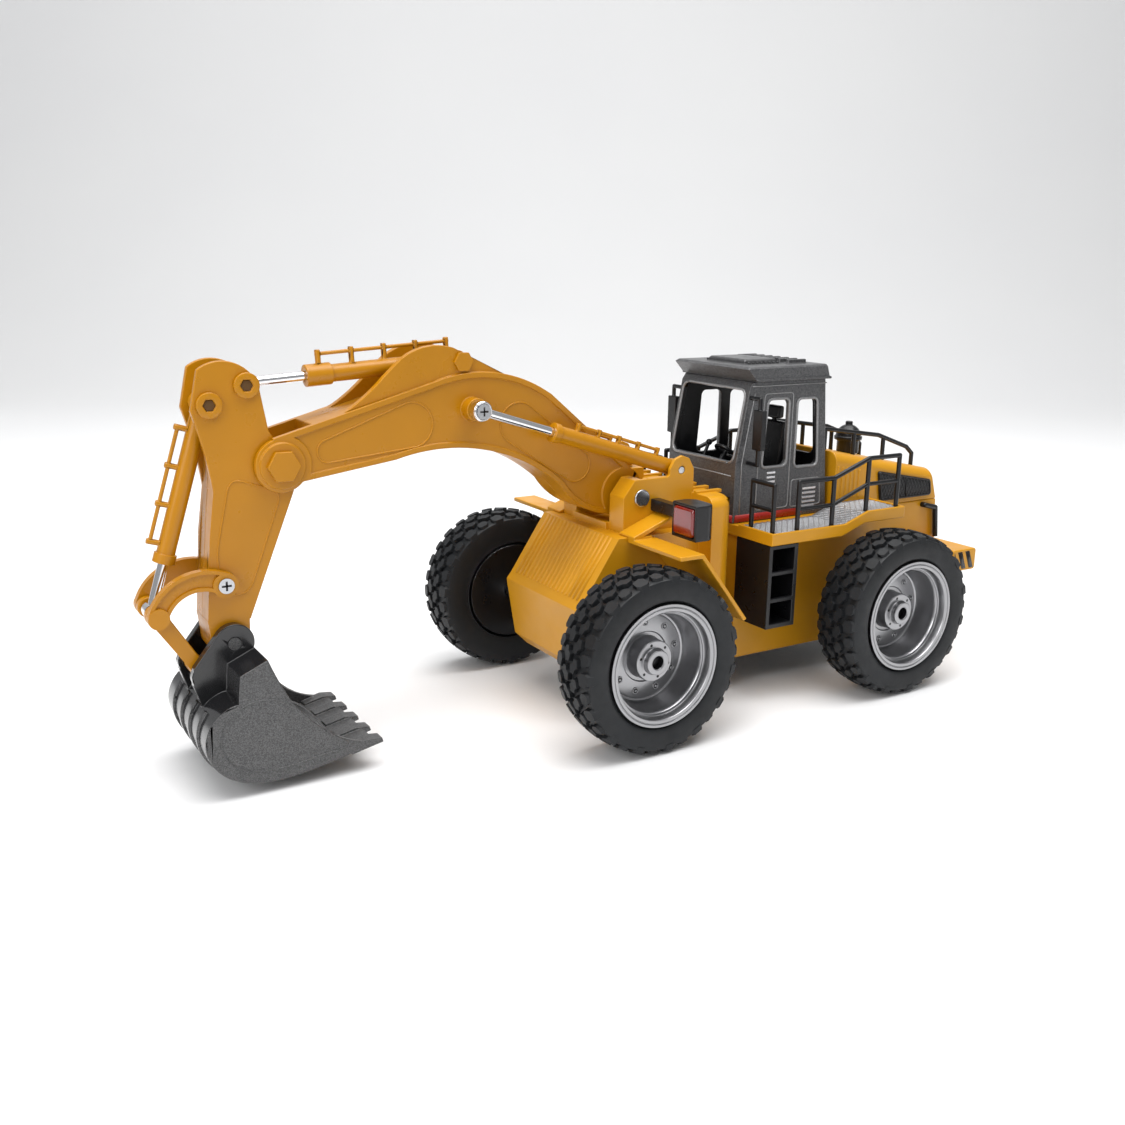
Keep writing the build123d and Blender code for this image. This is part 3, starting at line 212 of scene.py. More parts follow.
NEAR_BLACK = (0.010, 0.010, 0.011)
M = {
    "arm_yellow": moulded_plastic("arm_yellow_plastic", (0.46, 0.190, 0.001), rough=0.31),
    "body_yellow": moulded_plastic("body_yellow_plastic", (0.60, 0.275, 0.006)),
    "bucket_grey": flake_paint("bucket_flake_paint", (0.095, 0.095, 0.096), 0.4, 0.45, 0.40),
    "bucket_black": moulded_plastic("bucket_gloss_black", NEAR_BLACK, rough=0.16, coat=0.6),
    "cab_grey": flake_paint("cab_flake_paint", (0.112, 0.112, 0.115), 0.4, 0.55, 0.36),
    # painted highlight: a lighter grey for the cab's raised window rims and panel lines
    "trim_highlight_grey": flake_paint("cab_trim_painted_highlight", (0.30, 0.30, 0.305), 0.2, 0.5, 0.34),
    "black_plastic": moulded_plastic(
        "black_plastic", (0.006, 0.006, 0.007), rough=0.30, patch=0.02, wave=0.02),
    "rim_grey": polished_metal("rim_satin_silver", (0.36, 0.36, 0.37), 0.28, scale=500, relief=0.015),
    "tyre": rubber("tyre_rubber", (0.0065, 0.0075, 0.009)),
    "chrome_rod": polished_metal("chrome_rod", (0.88, 0.88, 0.90), 0.09, stretch=(1, 20, 1)),
    "steel": polished_metal("bright_steel", (0.52, 0.53, 0.55), 0.24, relief=0.03),
    "grip_silver": flake_paint("grip_plate_silver", (0.40, 0.40, 0.41), 0.15, 0.6, 0.34),
    "louvre_silver": polished_metal("louvre_silver", (0.80, 0.80, 0.82), 0.25, relief=0.03),
    "red_lens": lens_red("red_lens"),
    "red_band": moulded_plastic("red_band_paint", (0.40, 0.022, 0.016), rough=0.30),
    # painted shade: a dark brown for discs at the foot of the pins' hex recesses
    "socket_shade_brown": moulded_plastic("socket_shadow", (0.10, 0.045, 0.006), rough=0.5),
    "gear_white": moulded_plastic("gear_white_nylon", (0.62, 0.61, 0.57), rough=0.45),
    "board_green": moulded_plastic("board_green_lacquer", (0.02, 0.10, 0.03), rough=0.35),
}


# ------------------------------------------------------------------ mesh building
def finish_mesh(bm, name):
    bmesh.ops.recalc_face_normals(bm, faces=bm.faces)
    mesh = bpy.data.meshes.new(name)
    bm.to_mesh(mesh)
    bm.free()
    mesh.shade_smooth()
    return mesh


def add_piece(name, mesh, body, slot, materials=None, replaces=()):
    piece = bpy.data.objects.new(name, mesh)
    bpy.context.scene.collection.objects.link(piece)
    for material in materials or [M[slot]]:
        mesh.materials.append(material)
    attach(piece, body)
    if replaces:
        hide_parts(*replaces)
    return piece


def round_edges(piece, width, by_weight=False, slide=False):
    """Soft edges: every sharp one, or those that carry a bevel weight."""
    bevel = piece.modifiers.new("rounded", "BEVEL")
    bevel.width = width
    bevel.segments = 2
    bevel.limit_method = "WEIGHT" if by_weight else "ANGLE"
    bevel.angle_limit = SHARP
    bevel.use_clamp_overlap = not by_weight
    if by_weight:
        bevel.loop_slide = slide
        bevel.face_strength_mode = "FSTR_AFFECTED"
        normals = piece.modifiers.new("even_normals", "WEIGHTED_NORMAL")
        normals.use_face_influence = True
        normals.keep_sharp = True
    else:
        bevel.harden_normals = True
    return piece


ROOM_SHARE = 0.42       # of an edge that meets a rounded one, the share that the rounding may take
NEARLY_ALONG = 0.8      # cosine past which two edges run on from each other
LEAST_WEIGHT = 0.08     # bevel weight below which an edge stays as sharp as it is


def edge_room(edge, width):
    """The share of a bevel width that the edges meeting this one leave room for."""
    direction = (edge.verts[1].co - edge.verts[0].co).normalized()
    shortest = width / ROOM_SHARE
    for corner in edge.verts:
        for other in corner.link_edges:
            if other is not edge:
                away = (other.other_vert(corner).co - corner.co).normalized()
                if abs(direction.dot(away)) < NEARLY_ALONG:
                    shortest = min(shortest, other.calc_length())
    return min(1.0, ROOM_SHARE * shortest / width)


def moulded(name, width, paint=None, materials=None):
    """A CAD node's shape with soft moulded edges, standing for that node."""
    bm = bmesh.new()
    bm.from_mesh(frame["nodes"][name].data)
    bmesh.ops.remove_doubles(bm, verts=bm.verts, dist=WELD)
    weight = bm.edges.layers.float.new("bevel_weight_edge")
    for edge in bm.edges:
        if len(edge.link_faces) == 2 and edge.calc_face_angle(0) > SHARP:
            edge[weight] = edge_room(edge, width)
            edge.smooth = edge[weight] > LEAST_WEIGHT
    if paint:
        for face in bm.faces:
            face.material_index = paint(face.calc_center_median(), face.normal)
    mesh = finish_mesh(bm, name + "_moulded")
    piece = add_piece(name + "_moulded", mesh, BODY_OF[name], SLOT_OF[name], materials, replaces=(name,))
    return round_edges(piece, width, by_weight=True, slide=name in SLIDING_EDGES)


def prism(bm, outline, y_low, y_high):
    """A side-view outline, in metres, made solid between two y values."""
    rings = [[bm.verts.new((x, y, z)) for x, z in outline] for y in (y_low, y_high)]
    bm.faces.new(rings[0])
    bm.faces.new(list(reversed(rings[1])))
    for i in range(len(outline)):
        j = (i + 1) % len(outline)
        bm.faces.new((rings[0][j], rings[0][i], rings[1][i], rings[1][j]))


def solid_box(bm, low, high):
    prism(bm, [(low[0], low[2]), (high[0], low[2]), (high[0], high[2]), (low[0], high[2])], low[1], high[1])


def lathe(bm, centre, side, profile, segments=96):
    """A closed (y, radius) profile turned about the wheel axis through centre."""
    rings = []
    for i in range(segments):
        across, up = cos(2 * pi * i / segments), sin(2 * pi * i / segments)
        places = [(centre.x + r * across, side * y, centre.z + r * up) for y, r in profile]
        rings.append([bm.verts.new(place) for place in places])
    for i in range(segments):
        first, second = rings[i], rings[(i + 1) % segments]
        for a in range(len(profile)):
            b = (a + 1) % len(profile)
            bm.faces.new((first[a], second[a], second[b], first[b]))


def dome(bm, centre, side, y, radius, height, segments=20):
    """A low round button on a face that looks along y."""
    rings = []
    for share, rise in ((1.0, -0.3), (1.0, 0.45), (0.82, 0.85), (0.45, 1.0)):
        rings.append([bm.verts.new((
            centre[0] + radius * share * cos(2 * pi * i / segments), y + side * height * rise,
            centre[1] + radius * share * sin(2 * pi * i / segments))) for i in range(segments)])
    for low, high in zip(rings, rings[1:]):
        for i in range(segments):
            j = (i + 1) % segments
            bm.faces.new((low[i], low[j], high[j], high[i]))
    bm.faces.new(rings[-1])
    bm.faces.new(list(reversed(rings[0])))


def smooth_loop(points, steps):
    """Points on a closed curve that passes through the given ones."""
    count = len(points)
    result = []
    for i in range(count):
        p = [Vector(points[(i + k) % count]) for k in (-1, 0, 1, 2)]
        slope = p[2] - p[0]
        bend = 2 * p[0] - 5 * p[1] + 4 * p[2] - p[3]
        twist = 3 * p[1] - p[0] - 3 * p[2] + p[3]
        for s in range(steps):
            t = s / steps
            result.append(0.5 * (2 * p[1] + slope * t + bend * t ** 2 + twist * t ** 3))
    return result


def tube(bm, points, radius, closed=False, sides=8):
    """A round bead along a line of points."""
    rings = []
    count = len(points)
    for i, point in enumerate(points):
        before = points[(i - 1) % count] if closed or i else point
        after = points[(i + 1) % count] if closed or i < count - 1 else point
        forward = (Vector(after) - Vector(before)).normalized()
        across = forward.cross(Vector((0, 1, 0)))
        if across.length < 0.2:
            across = forward.cross(Vector((0, 0, 1)))
        across.normalize()
        up = across.cross(forward)
        turns = [2 * pi * k / sides for k in range(sides)]
        rings.append([bm.verts.new(Vector(point) + radius * (across * cos(a) + up * sin(a))) for a in turns])
    pairs = list(zip(rings, rings[1:]))
    if closed:
        pairs.append((rings[-1], rings[0]))
    for first, second in pairs:
        for k in range(sides):
            bm.faces.new((first[k], first[(k + 1) % sides], second[(k + 1) % sides], second[k]))
    if not closed:
        bm.faces.new(list(reversed(rings[0])))
        bm.faces.new(rings[-1])


def circle(centre, y, radius, count):
    """Points round a circle in a plane of constant y; centre is an (x, z) pair."""
    turns = [2 * pi * k / count for k in range(count)]
    return [Vector((centre[0] + radius * cos(a), y, centre[1] + radius * sin(a))) for a in turns]


def stadium(start, start_radius, end, end_radius, steps=10):
    """The outline of a band with round ends between two side-view points."""
    heading = atan2(end[1] - start[1], end[0] - start[0])
    outline = []
    for centre, radius, turn in ((start, start_radius, pi / 2), (end, end_radius, -pi / 2)):
        for i in range(steps + 1):
            angle = heading + turn + pi * i / steps
            outline.append((centre[0] + radius * cos(angle), centre[1] + radius * sin(angle)))
    return outline


def clip_line(outline, point, direction):
    """The ends of the stretch of a line that lies inside a convex outline, or None."""
    low, high = -1e9, 1e9
    area = sum(a[0] * b[1] - b[0] * a[1] for a, b in zip(outline, outline[1:] + outline[:1]))
    turn = 1 if area > 0 else -1
    for a, b in zip(outline, outline[1:] + outline[:1]):
        nx, ny = -(b[1] - a[1]) * turn, (b[0] - a[0]) * turn
        across = direction[0] * nx + direction[1] * ny
        room = (point[0] - a[0]) * nx + (point[1] - a[1]) * ny
        if abs(across) < 1e-12:
            if room < 0:
                return None
        elif across > 0:
            low = max(low, -room / across)
        else:
            high = min(high, -room / across)
    if high - low < 1e-4:
        return None
    return [(point[0] + direction[0] * t, point[1] + direction[1] * t) for t in (low, high)]


def hatch(outline, angle, spacing):
    """Parallel lines inside a convex outline."""
    direction = (cos(angle), sin(angle))
    normal = (-direction[1], direction[0])
    reach = [p[0] * normal[0] + p[1] * normal[1] for p in outline]
    step = min(reach) + spacing / 2
    while step < max(reach):
        line = clip_line(outline, (normal[0] * step, normal[1] * step), direction)
        if line:
            yield line
        step += spacing


# ------------------------------------------------------------------ wheels
TYRE_RADIUS = 32.0
TYRE_HALF = 9.8
TYRE_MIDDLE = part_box("front_tyres")[1].y - TYRE_HALF * MM
TREAD_PITCHES = 30
TREAD_DEPTH = 2.3
BLOCK_TAPER = 0.90
# the carcass section as (across, radius) in millimetres, from the inner bead round to the outer one
CARCASS = (
    (-7.4, 19.9), (-8.6, 20.2), (-9.5, 22.6), (-9.8, 26.0), (-9.6, 28.6), (-8.8, 29.9), (-4.0, 30.2),
    (0.0, 30.3), (4.0, 30.2), (8.8, 29.9), (9.6, 28.6), (9.8, 26.0), (9.5, 23.2), (8.8, 22.1), (7.6, 21.8),
    (7.4, 19.9))
# tread blocks as (along, across) in millimetres
SHOULDER_BLOCK = ((-2.6, 5.6), (0.8, 4.8), (2.3, 5.9), (2.6, 8.5), (1.6, 9.5), (-1.8, 9.5), (-2.8, 8.4))
SHORT_BLOCK = ((-2.4, 5.9), (0.4, 5.1), (2.0, 6.2), (2.2, 8.0), (1.2, 8.9), (-1.4, 8.9), (-2.5, 8.0))
MIDDLE_BLOCK = (
    (-2.5, 0.5), (0.2, 0.2), (1.1, 1.5), (2.8, 2.1), (2.6, 3.9), (-0.1, 4.5), (-1.2, 3.2), (-2.9, 2.6))


def crown(across):
    """Tread surface radius at a distance from the tyre's middle plane, in millimetres."""
    return TYRE_RADIUS - 0.0135 * across ** 2


def tread_block(bm, centre, side, turn, outline, flip):
    """One rubber block: a raised outline with sloping flanks, wrapped round the tyre."""
    middle = [sum(p[i] for p in outline) / len(outline) for i in (0, 1)]
    rings = []
    for deep in (True, False):
        ring = []
        for u, v in outline:
            shrink = 1.0 if deep else BLOCK_TAPER
            along = middle[0] + (u - middle[0]) * shrink
            across = middle[1] + (v - middle[1]) * shrink
            radius = (crown(across) - (TREAD_DEPTH if deep else 0.0)) * MM
            if deep and v > 8.3:
                across += 0.3
            angle = turn + along / TYRE_RADIUS
            y = side * (TYRE_MIDDLE + flip * across * MM)
            ring.append(bm.verts.new((centre.x + radius * cos(angle), y, centre.z + radius * sin(angle))))
        rings.append(ring)
    bm.faces.new(rings[0])
    bm.faces.new(list(reversed(rings[1])))
    for i in range(len(outline)):
        j = (i + 1) % len(outline)
        bm.faces.new((rings[0][j], rings[0][i], rings[1][i], rings[1][j]))


def tyre_pair(name, centre):
    bm = bmesh.new()
    carcass = smooth_loop([(across, radius, 0) for across, radius in CARCASS], 3)
    for side in SIDES:
        lathe(bm, centre, side, [(TYRE_MIDDLE + p.x * MM, p.y * MM) for p in carcass])
        for i in range(TREAD_PITCHES):
            for flip, offset in ((1, 0.0), (-1, 0.5)):
                turn = 2 * pi * (i + offset) / TREAD_PITCHES
                tread_block(bm, centre, side, turn, SHORT_BLOCK if i % 2 else SHOULDER_BLOCK, flip)
                tread_block(bm, centre, side, turn + pi / TREAD_PITCHES, MIDDLE_BLOCK, flip)
    piece = add_piece(name + "_treaded", finish_mesh(bm, name), BODY_OF[name], "tyre", replaces=(name,))
    round_edges(piece, 0.3 * MM)


LIP_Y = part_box("front_rims")[1].y
DISC_DEPTH = 11.75
HUB_DEPTH = 6.35
BOLT_CIRCLE = 12.3
HUB_CIRCLE = 5.85
BORE = 2.4
# the rim's section as (distance from the lip, radius) in millimetres: the lip and its groove, the dish, the
# disc, the hub with its bore, and back along the barrel's inner side
RIM_PROFILE = (
    (0.0, 21.4), (0.0, 20.5), (-0.35, 20.35), (-0.35, 20.15), (0.0, 20.0), (-0.1, 19.0), (-0.5, 18.75),
    (-3.1, 18.5), (-3.3, 18.2), (-3.2, 17.6), (-3.6, 17.3), (-4.6, 17.1), (-11.0, 16.4), (-12.2, 15.8),
    (-12.5, 15.2), (-11.9, 14.7), (-DISC_DEPTH, 14.3), (-DISC_DEPTH, 9.0), (-12.3, 8.7), (-12.3, 7.5),
    (-11.8, 7.3), (-6.6, 7.2), (-HUB_DEPTH, 6.9), (-HUB_DEPTH, 4.75), (-6.1, 4.55), (-4.3, 4.35),
    (-4.1, 4.1), (-4.1, 2.6), (-4.4, 2.25), (-9.0, 2.2), (-9.0, 2.0), (-16.0, 2.0), (-18.0, 3.6),
    (-18.5, 8.0), (-18.6, 18.8), (-2.0, 19.75), (-1.6, 21.4))


def rim_pair(name, centre):
    """Two turned rims in silver, black in the bore and on the side that faces the hull."""
    bm = bmesh.new()
    for side in SIDES:
        lathe(bm, centre, side, [(LIP_Y + y * MM, r * MM) for y, r in RIM_PROFILE])
    for face in bm.faces:
        place = face.calc_center_median()
        inner_end = abs(place.y) < LIP_Y - 13 * MM
        bore = hypot(place.x - centre.x, place.z - centre.z) < BORE * MM
        face.material_index = 1 if inner_end or bore else 0
    paints = [M["rim_grey"], M["black_plastic"]]
    mesh = finish_mesh(bm, name)
    piece = add_piece(name + "_turned", mesh, BODY_OF[name], "rim_grey", paints, replaces=(name,))
    round_edges(piece, 0.16 * MM)


def rim_bolts(name, centre):
    """Ringed bolts round each disc, and flat black discs of painted shade in the bolts' recesses, the hub's bore
    and the small openings round it.
    """
    bolts = bmesh.new()
    hole_shade = bmesh.new()
    for side in SIDES:
        y = side * (LIP_Y - DISC_DEPTH * MM)
        for spot in spots_round(centre, BOLT_CIRCLE, 9, 0.2):
            tube(bolts, circle(spot, y + side * 0.05 * MM, 1.05 * MM, 20), 0.26 * MM, closed=True)
            dome(bolts, spot, side, y, 0.55 * MM, 0.5 * MM, 12)
            # a black disc of painted shade round each bolt, for its recess
            dome(hole_shade, spot, side, y, 0.92 * MM, 0.05 * MM, 16)
        dome(hole_shade, (centre.x, centre.z), side, side * (LIP_Y - 6.6 * MM), 2.3 * MM, 0.1 * MM, 24)
        for spot in spots_round(centre, HUB_CIRCLE, 6, 0.25):
            dome(hole_shade, spot, side, side * (LIP_Y - HUB_DEPTH * MM), 0.52 * MM, 0.04 * MM, 14)
    add_piece(name + "_bolts", finish_mesh(bolts, name + "_bolts"), BODY_OF[name], "rim_grey")
    add_piece(name + "_holes", finish_mesh(hole_shade, name + "_holes"), BODY_OF[name], "black_plastic")


def spots_round(centre, radius, count, start):
    """Evenly spaced (x, z) places round the wheel axis, the first one a share of a step round."""
    turns = [2 * pi * (i + start) / count for i in range(count)]
    return [(centre.x + radius * MM * cos(a), centre.z + radius * MM * sin(a)) for a in turns]


def wheels():
    for end, centre in (("front", FRONT_AXLE), ("rear", REAR_AXLE)):
        tyre_pair(end + "_tyres", centre)
        rim_pair(end + "_rims", centre)
        rim_bolts(end + "_rims", centre)


# ------------------------------------------------------------------ bodywork
# CAD nodes with moulded edges, how wide the edges are in millimetres, and the nodes whose edges slide
SOFT_EDGES = {
    "front_hull": 0.22, "front_fenders": 0.4, "headlight_housings": 0.5, "headlight_lenses": 1.1,
    "chassis_arm_pins": 0.35, "rear_hull": 0.45, "deck_frame": 0.4, "step_boxes": 0.3, "cab_roof": 0.35,
    "driver_seat": 0.9, "cab_mirrors": 0.3, "hood": 0.5, "hood_grilles": 0.25, "air_cleaner": 0.35,
    "rear_bumper": 0.5, "boom_left": 0.35, "boom_right": 0.35, "stick_pivot_bolt": 0.3,
    "cylinder_base_bolt": 0.25, "stick_left": 0.35, "stick_right": 0.35, "stick_pins": 0.3,
    "push_link": 0.35, "boom_cylinder_barrels": 0.15, "stick_cylinder_barrel": 0.25,
    "bucket_cylinder_barrel": 0.15, "boom_cylinder_rods": 0.25, "grip_plates": 0.1,
}
SLIDING_EDGES = ("bucket", "boom_cylinder_barrels", "stick_cylinder_barrel", "bucket_cylinder_barrel")


def bucket_paint(centre, normal):
    """Gloss black on the back shell and the ears, flake paint on the sides and the floor."""
    x = (centre.x - FRONT_AXLE.x) / MM
    y = abs(centre.y) / MM
    z = centre.z / MM
    back = x > 124 and abs(normal.y) < 0.5 and y < 23.9
    ears = y < 11.5 and z > 24
    return 1 if back or ears else 0


CAB_MIDDLE = (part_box("cab_shell")[0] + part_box("cab_shell")[1]) / 2


def cab_paint(centre, normal):
    """Black on the cab faces that look towards the cab's middle."""
    inward = CAB_MIDDLE - centre
    return 1 if normal.x * inward.x + normal.y * inward.y > 2 * MM else 0


def bodywork():
    for name, width in SOFT_EDGES.items():
        moulded(name, width * MM)
    moulded("bucket", 0.35 * MM, paint=bucket_paint, materials=[M["bucket_grey"], M["bucket_black"]])
    moulded("cab_shell", 0.45 * MM, paint=cab_paint, materials=[M["cab_grey"], M["black_plastic"]])


def rounded_loop(points, radius, steps=5):
    """A closed side-view or flat outline with its corners rounded, as 2-D points."""
    result = []
    count = len(points)
    for i in range(count):
        corner, before, after = (Vector(points[(i + k) % count]) for k in (0, -1, 1))
        start = corner + (before - corner).normalized() * radius
        end = corner + (after - corner).normalized() * radius
        for s in range(steps + 1):
            t = s / steps
            result.append((1 - t) ** 2 * start + 2 * t * (1 - t) * corner + t ** 2 * end)
    return result


def side_line(points, y):
    """Side-view (x, z) points in millimetres, as at() takes them, at a y in metres."""
    return [Vector((at(x, 0, 0).x, y, z * MM)) for x, z in points]


def beads(name, body, slot, loops, radius, material=None, sides=8):
    """Round beads along closed or open lines, as one piece: (points, closed) pairs."""
    bm = bmesh.new()
    for points, closed in loops:
        tube(bm, points, radius * MM, closed, sides)
    return add_piece(name, finish_mesh(bm, name), body, slot, [material] if material else None)


# the boom's two panels as (start, start radius, end, end radius), and the stick's panel, in millimetres
BOOM_WEB = 8.8
BOOM_PANELS = (((94.5, 103.3), 3.7, (66.0, 109.8), 7.4), ((26.5, 108.0), 7.2, (3.5, 91.8), 6.0))
STICK_PANEL = [(109.4, 91.5), (125.4, 97.0), (130.6, 74.0), (129.6, 61.0), (121.4, 60.0)]


def arm_outlines():
    """The moulded outline panels on the boom's and the stick's sides."""
    stick_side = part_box("stick_left")[1].y
    boom_lines = []
    stick_lines = []
    for side in SIDES:
        for panel in BOOM_PANELS:
            boom_lines.append((side_line(stadium(*panel), side * BOOM_WEB * MM), True))
        stick_lines.append((side_line(rounded_loop(STICK_PANEL, 4.0), side * stick_side), True))
    beads("boom_side_outlines", "boom", "arm_yellow", boom_lines, 0.32)
    beads("stick_side_outlines", "stick", "arm_yellow", stick_lines, 0.26)


def cross_recess_shade(bm, centre, y, side, reach, half_width):
    """A dark cross of painted shade that stands for a screw's recess, on a face that looks along y."""
    low, high = sorted((y - side * 0.2 * MM, y + side * 0.03 * MM))
    for dx, dz in ((reach * MM, half_width * MM), (half_width * MM, reach * MM)):
        solid_box(bm, (centre.x - dx, low, centre.z - dz), (centre.x + dx, high, centre.z + dz))


def screw_marks():
    """Dark crosses of painted shade on the screw heads, rings round the boom eyes, and dark discs of painted shade
    at the foot of the stick pins' hex recesses.
    """
    marks = {"stick": bmesh.new(), "boom_rods": bmesh.new()}
    socket_shade = bmesh.new()
    rings = bmesh.new()
    eye_low, eye_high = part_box("boom_eye_screws")
    eye = (eye_low + eye_high) / 2
    rocker_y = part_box("rocker_screws")[1].y
    for side in SIDES:
        cross_recess_shade(marks["stick"], PIVOT["rocker_swing"], side * rocker_y, side, 1.5, 0.32)
        cross_recess_shade(marks["boom_rods"], eye, side * eye_high.y, side, 1.5, 0.3)
        # dark hex discs: painted shade at the foot of each pin's hex recess
        socket_y = side * (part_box("stick_left")[1].y + 0.72 * MM)
        for pivot in (PIVOT["bucket_cylinder_tilt"], at(118.8, 0, 124.6)):
            dome(socket_shade, (pivot.x, pivot.z), side, socket_y, 1.95 * MM, 0.1 * MM, 6)
        ring = circle((eye.x, eye.z), side * (eye_high.y - 0.75 * MM), 2.9 * MM, 36)
        tube(rings, ring, 0.35 * MM, closed=True)
    socket_shade_mesh = finish_mesh(socket_shade, "stick_pin_sockets")
    add_piece("stick_pin_sockets", socket_shade_mesh, "stick", "arm_yellow", [M["socket_shade_brown"]])
    for body, bm in marks.items():
        add_piece(body + "_screw_cross_shade", finish_mesh(bm, body + "_screw_cross_shade"), body, "black_plastic")
    add_piece("boom_eye_rings", finish_mesh(rings, "boom_eye_rings"), "boom_rods", "chrome_rod")


# the cab's side view, in millimetres: windows with their corner radius, panels and single lines
CAB_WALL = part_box("cab_shell")[1].y
CAB_WINDOWS = (
    ([(-72.2, 86.5), (-74.0, 112.5), (-84.7, 112.5), (-84.7, 86.5)], 2.4),
    ([(-88.7, 85.5), (-88.7, 112.1), (-98.9, 112.1), (-100.8, 85.5)], 2.4))
CAB_PANELS = (
    ([(-70.3, 70.2), (-70.6, 88.0), (-72.4, 114.6), (-86.5, 114.6), (-86.5, 70.2)], 1.6),
    ([(-88.0, 70.0), (-88.0, 80.6), (-102.6, 80.6), (-103.6, 70.0)], 1.2))
CAB_LINES = (
    [(-66.0, 117.6), (-103.0, 117.6)],
    [(-62.5, 69.5), (-62.6, 88.8), (-67.4, 115.0)])
SCREEN = [(-19.1, 88.8), (-19.1, 116.3), (19.1, 116.3), (19.1, 88.8)]
# groups of louvres as (front end, lowest height, count, length)
LOUVRES = ((-94.0, 69.2, 5, 6.8), (-75.2, 80.4, 3, 4.2))
LOUVRE_PITCH = 1.75
LOUVRE_HEIGHT = 0.95
BAND_LOW, BAND_HIGH = 66.4, 69.2
BAND_SIDE = ((-60.4, BAND_LOW), (-93.0, BAND_LOW), (-96.5, BAND_HIGH), (-60.6, BAND_HIGH))


def cab_front(y, z):
    """A point on the cab's front wall, which leans back from the foot of the windscreen up."""
    return at(-59.8 - max(z - 89.0, 0.0) * 5.1 / 28 - 0.02, y, z)


def cab_trim():
    """Rims round the cab's windows, and the outlines of its doors and panels, in a lighter grey that paints the
    highlights on these raised edges.
    """
    rims = []
    lines = []
    for side in SIDES:
        for points, radius in CAB_WINDOWS:
            rims.append((side_line(rounded_loop(points, radius), side * CAB_WALL), True))
        for points, radius in CAB_PANELS:
            lines.append((side_line(rounded_loop(points, radius), side * CAB_WALL), True))
        for points in CAB_LINES:
            lines.append((side_line(points, side * CAB_WALL), False))
    rims.append(([cab_front(y, z) for y, z in rounded_loop(SCREEN, 3.6)], True))
    for z in (84.0, 71.5):
        lines.append(([cab_front(-18.5, z), cab_front(18.5, z)], False))
    # the lighter trim grey is a painted highlight on these raised rims and lines
    beads("cab_window_rims", "rear_chassis", "cab_grey", rims, 0.5, M["trim_highlight_grey"])
    beads("cab_panel_lines", "rear_chassis", "cab_grey", lines, 0.24, M["trim_highlight_grey"])


def cab_louvres():
    """Bright slats at the foot of the cab's sides."""
    slats = bmesh.new()
    for side in SIDES:
        low, high = sorted((side * (CAB_WALL - 0.2 * MM), side * (CAB_WALL + 0.28 * MM)))
        for front, foot, count, length in LOUVRES:
            for i in range(count):
                start = at(front - length, 0, foot + LOUVRE_PITCH * i)
                end = (start.x + length * MM, high, start.z + LOUVRE_HEIGHT * MM)
                solid_box(slats, (start.x, low, start.z), end)
    mesh = finish_mesh(slats, "louvres")
    piece = add_piece("cab_louvres", mesh, "rear_chassis", "grip_silver", [M["louvre_silver"]])
    round_edges(piece, 0.15 * MM)


def cab_band():
    """The red stripe round the cab's foot."""
    band = bmesh.new()
    for side in SIDES:
        outline = [(at(x, 0, 0).x, z * MM) for x, z in BAND_SIDE]
        low, high = sorted((side * (CAB_WALL - 0.2 * MM), side * (CAB_WALL + 0.1 * MM)))
        prism(band, outline, low, high)
    solid_box(band, at(-60.0, -20.6, BAND_LOW), at(-59.5, 20.6, BAND_HIGH))
    add_piece("cab_red_band", finish_mesh(band, "band"), "rear_chassis", "red_lens", [M["red_band"]])


def roof_studs():
    """Two rows of vent studs on the roof."""
    bm = bmesh.new()
    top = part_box("cab_roof")[1].z
    half = 0.5 * MM
    for row in (-1, 1):
        for i in range(8):
            x = at(-71.0 - 2.0 * i, 0, 0).x
            y = row * 12.4 * MM
            solid_box(bm, (x - half, y - half, top - 2.0 * MM), (x + half, y + half, top - 1.0 * MM))
    piece = add_piece("roof_studs", finish_mesh(bm, "roof_studs"), "rear_chassis", "cab_grey")
    round_edges(piece, 0.15 * MM)


def deck_height(x):
    """Height of the grip plates' top at a distance from the front axle, in millimetres."""
    return 66.1 + 4.0 * min(max((-96.0 - x) / 11.5, 0.0), 1.0)


def grip_ridges():
    """Diagonal anti-slip ridges on both deck plates."""
    loops = []
    pieces = 8
    for side in SIDES:
        y_low, y_high = sorted((side * 24.6, side * 42.4))
        field = [(-126.0, y_low), (-61.0, y_low), (-61.0, y_high), (-126.0, y_high)]
        for angle in (radians(48), radians(-48)):
            for start, end in hatch(field, angle, 2.0):
                ends = Vector(start), Vector(end)
                line = [ends[0].lerp(ends[1], k / pieces) for k in range(pieces + 1)]
                loops.append(([at(x, y, deck_height(x)) for x, y in line], False))
    beads("deck_grip_ridges", "rear_chassis", "grip_silver", loops, 0.24, sides=5)


GRILLE = [(-132.0, 80.6), (-134.2, 69.0), (-162.9, 69.0), (-161.9, 74.9)]
GRILLE_DIVIDER = [(-147.5, 77.6), (-148.4, 69.2)]


def grille_mesh():
    """Raised frame, divider and a diagonal wire mesh on the hood's side grilles."""
    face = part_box("hood_grilles")[1].y
    wires = []
    frames = []
    for side in SIDES:
        frames.append((side_line(rounded_loop(GRILLE, 1.2), side * face), True))
        frames.append((side_line(GRILLE_DIVIDER, side * face), False))
        for angle in (radians(60), radians(-60)):
            for line in hatch(GRILLE, angle, 1.5):
                wires.append((side_line(line, side * face), False))
    beads("grille_frames", "rear_chassis", "black_plastic", frames, 0.42)
    beads("grille_wires", "rear_chassis", "black_plastic", wires, 0.17, sides=5)


STRIPE_START = 1.2 * MM
STRIPE_PITCH = 4.4 * MM
STRIPE_WIDTH = 2.5 * MM
STRIPE_SLANT = 3.0 * MM
STRIPE_EDGE = 0.9 * MM


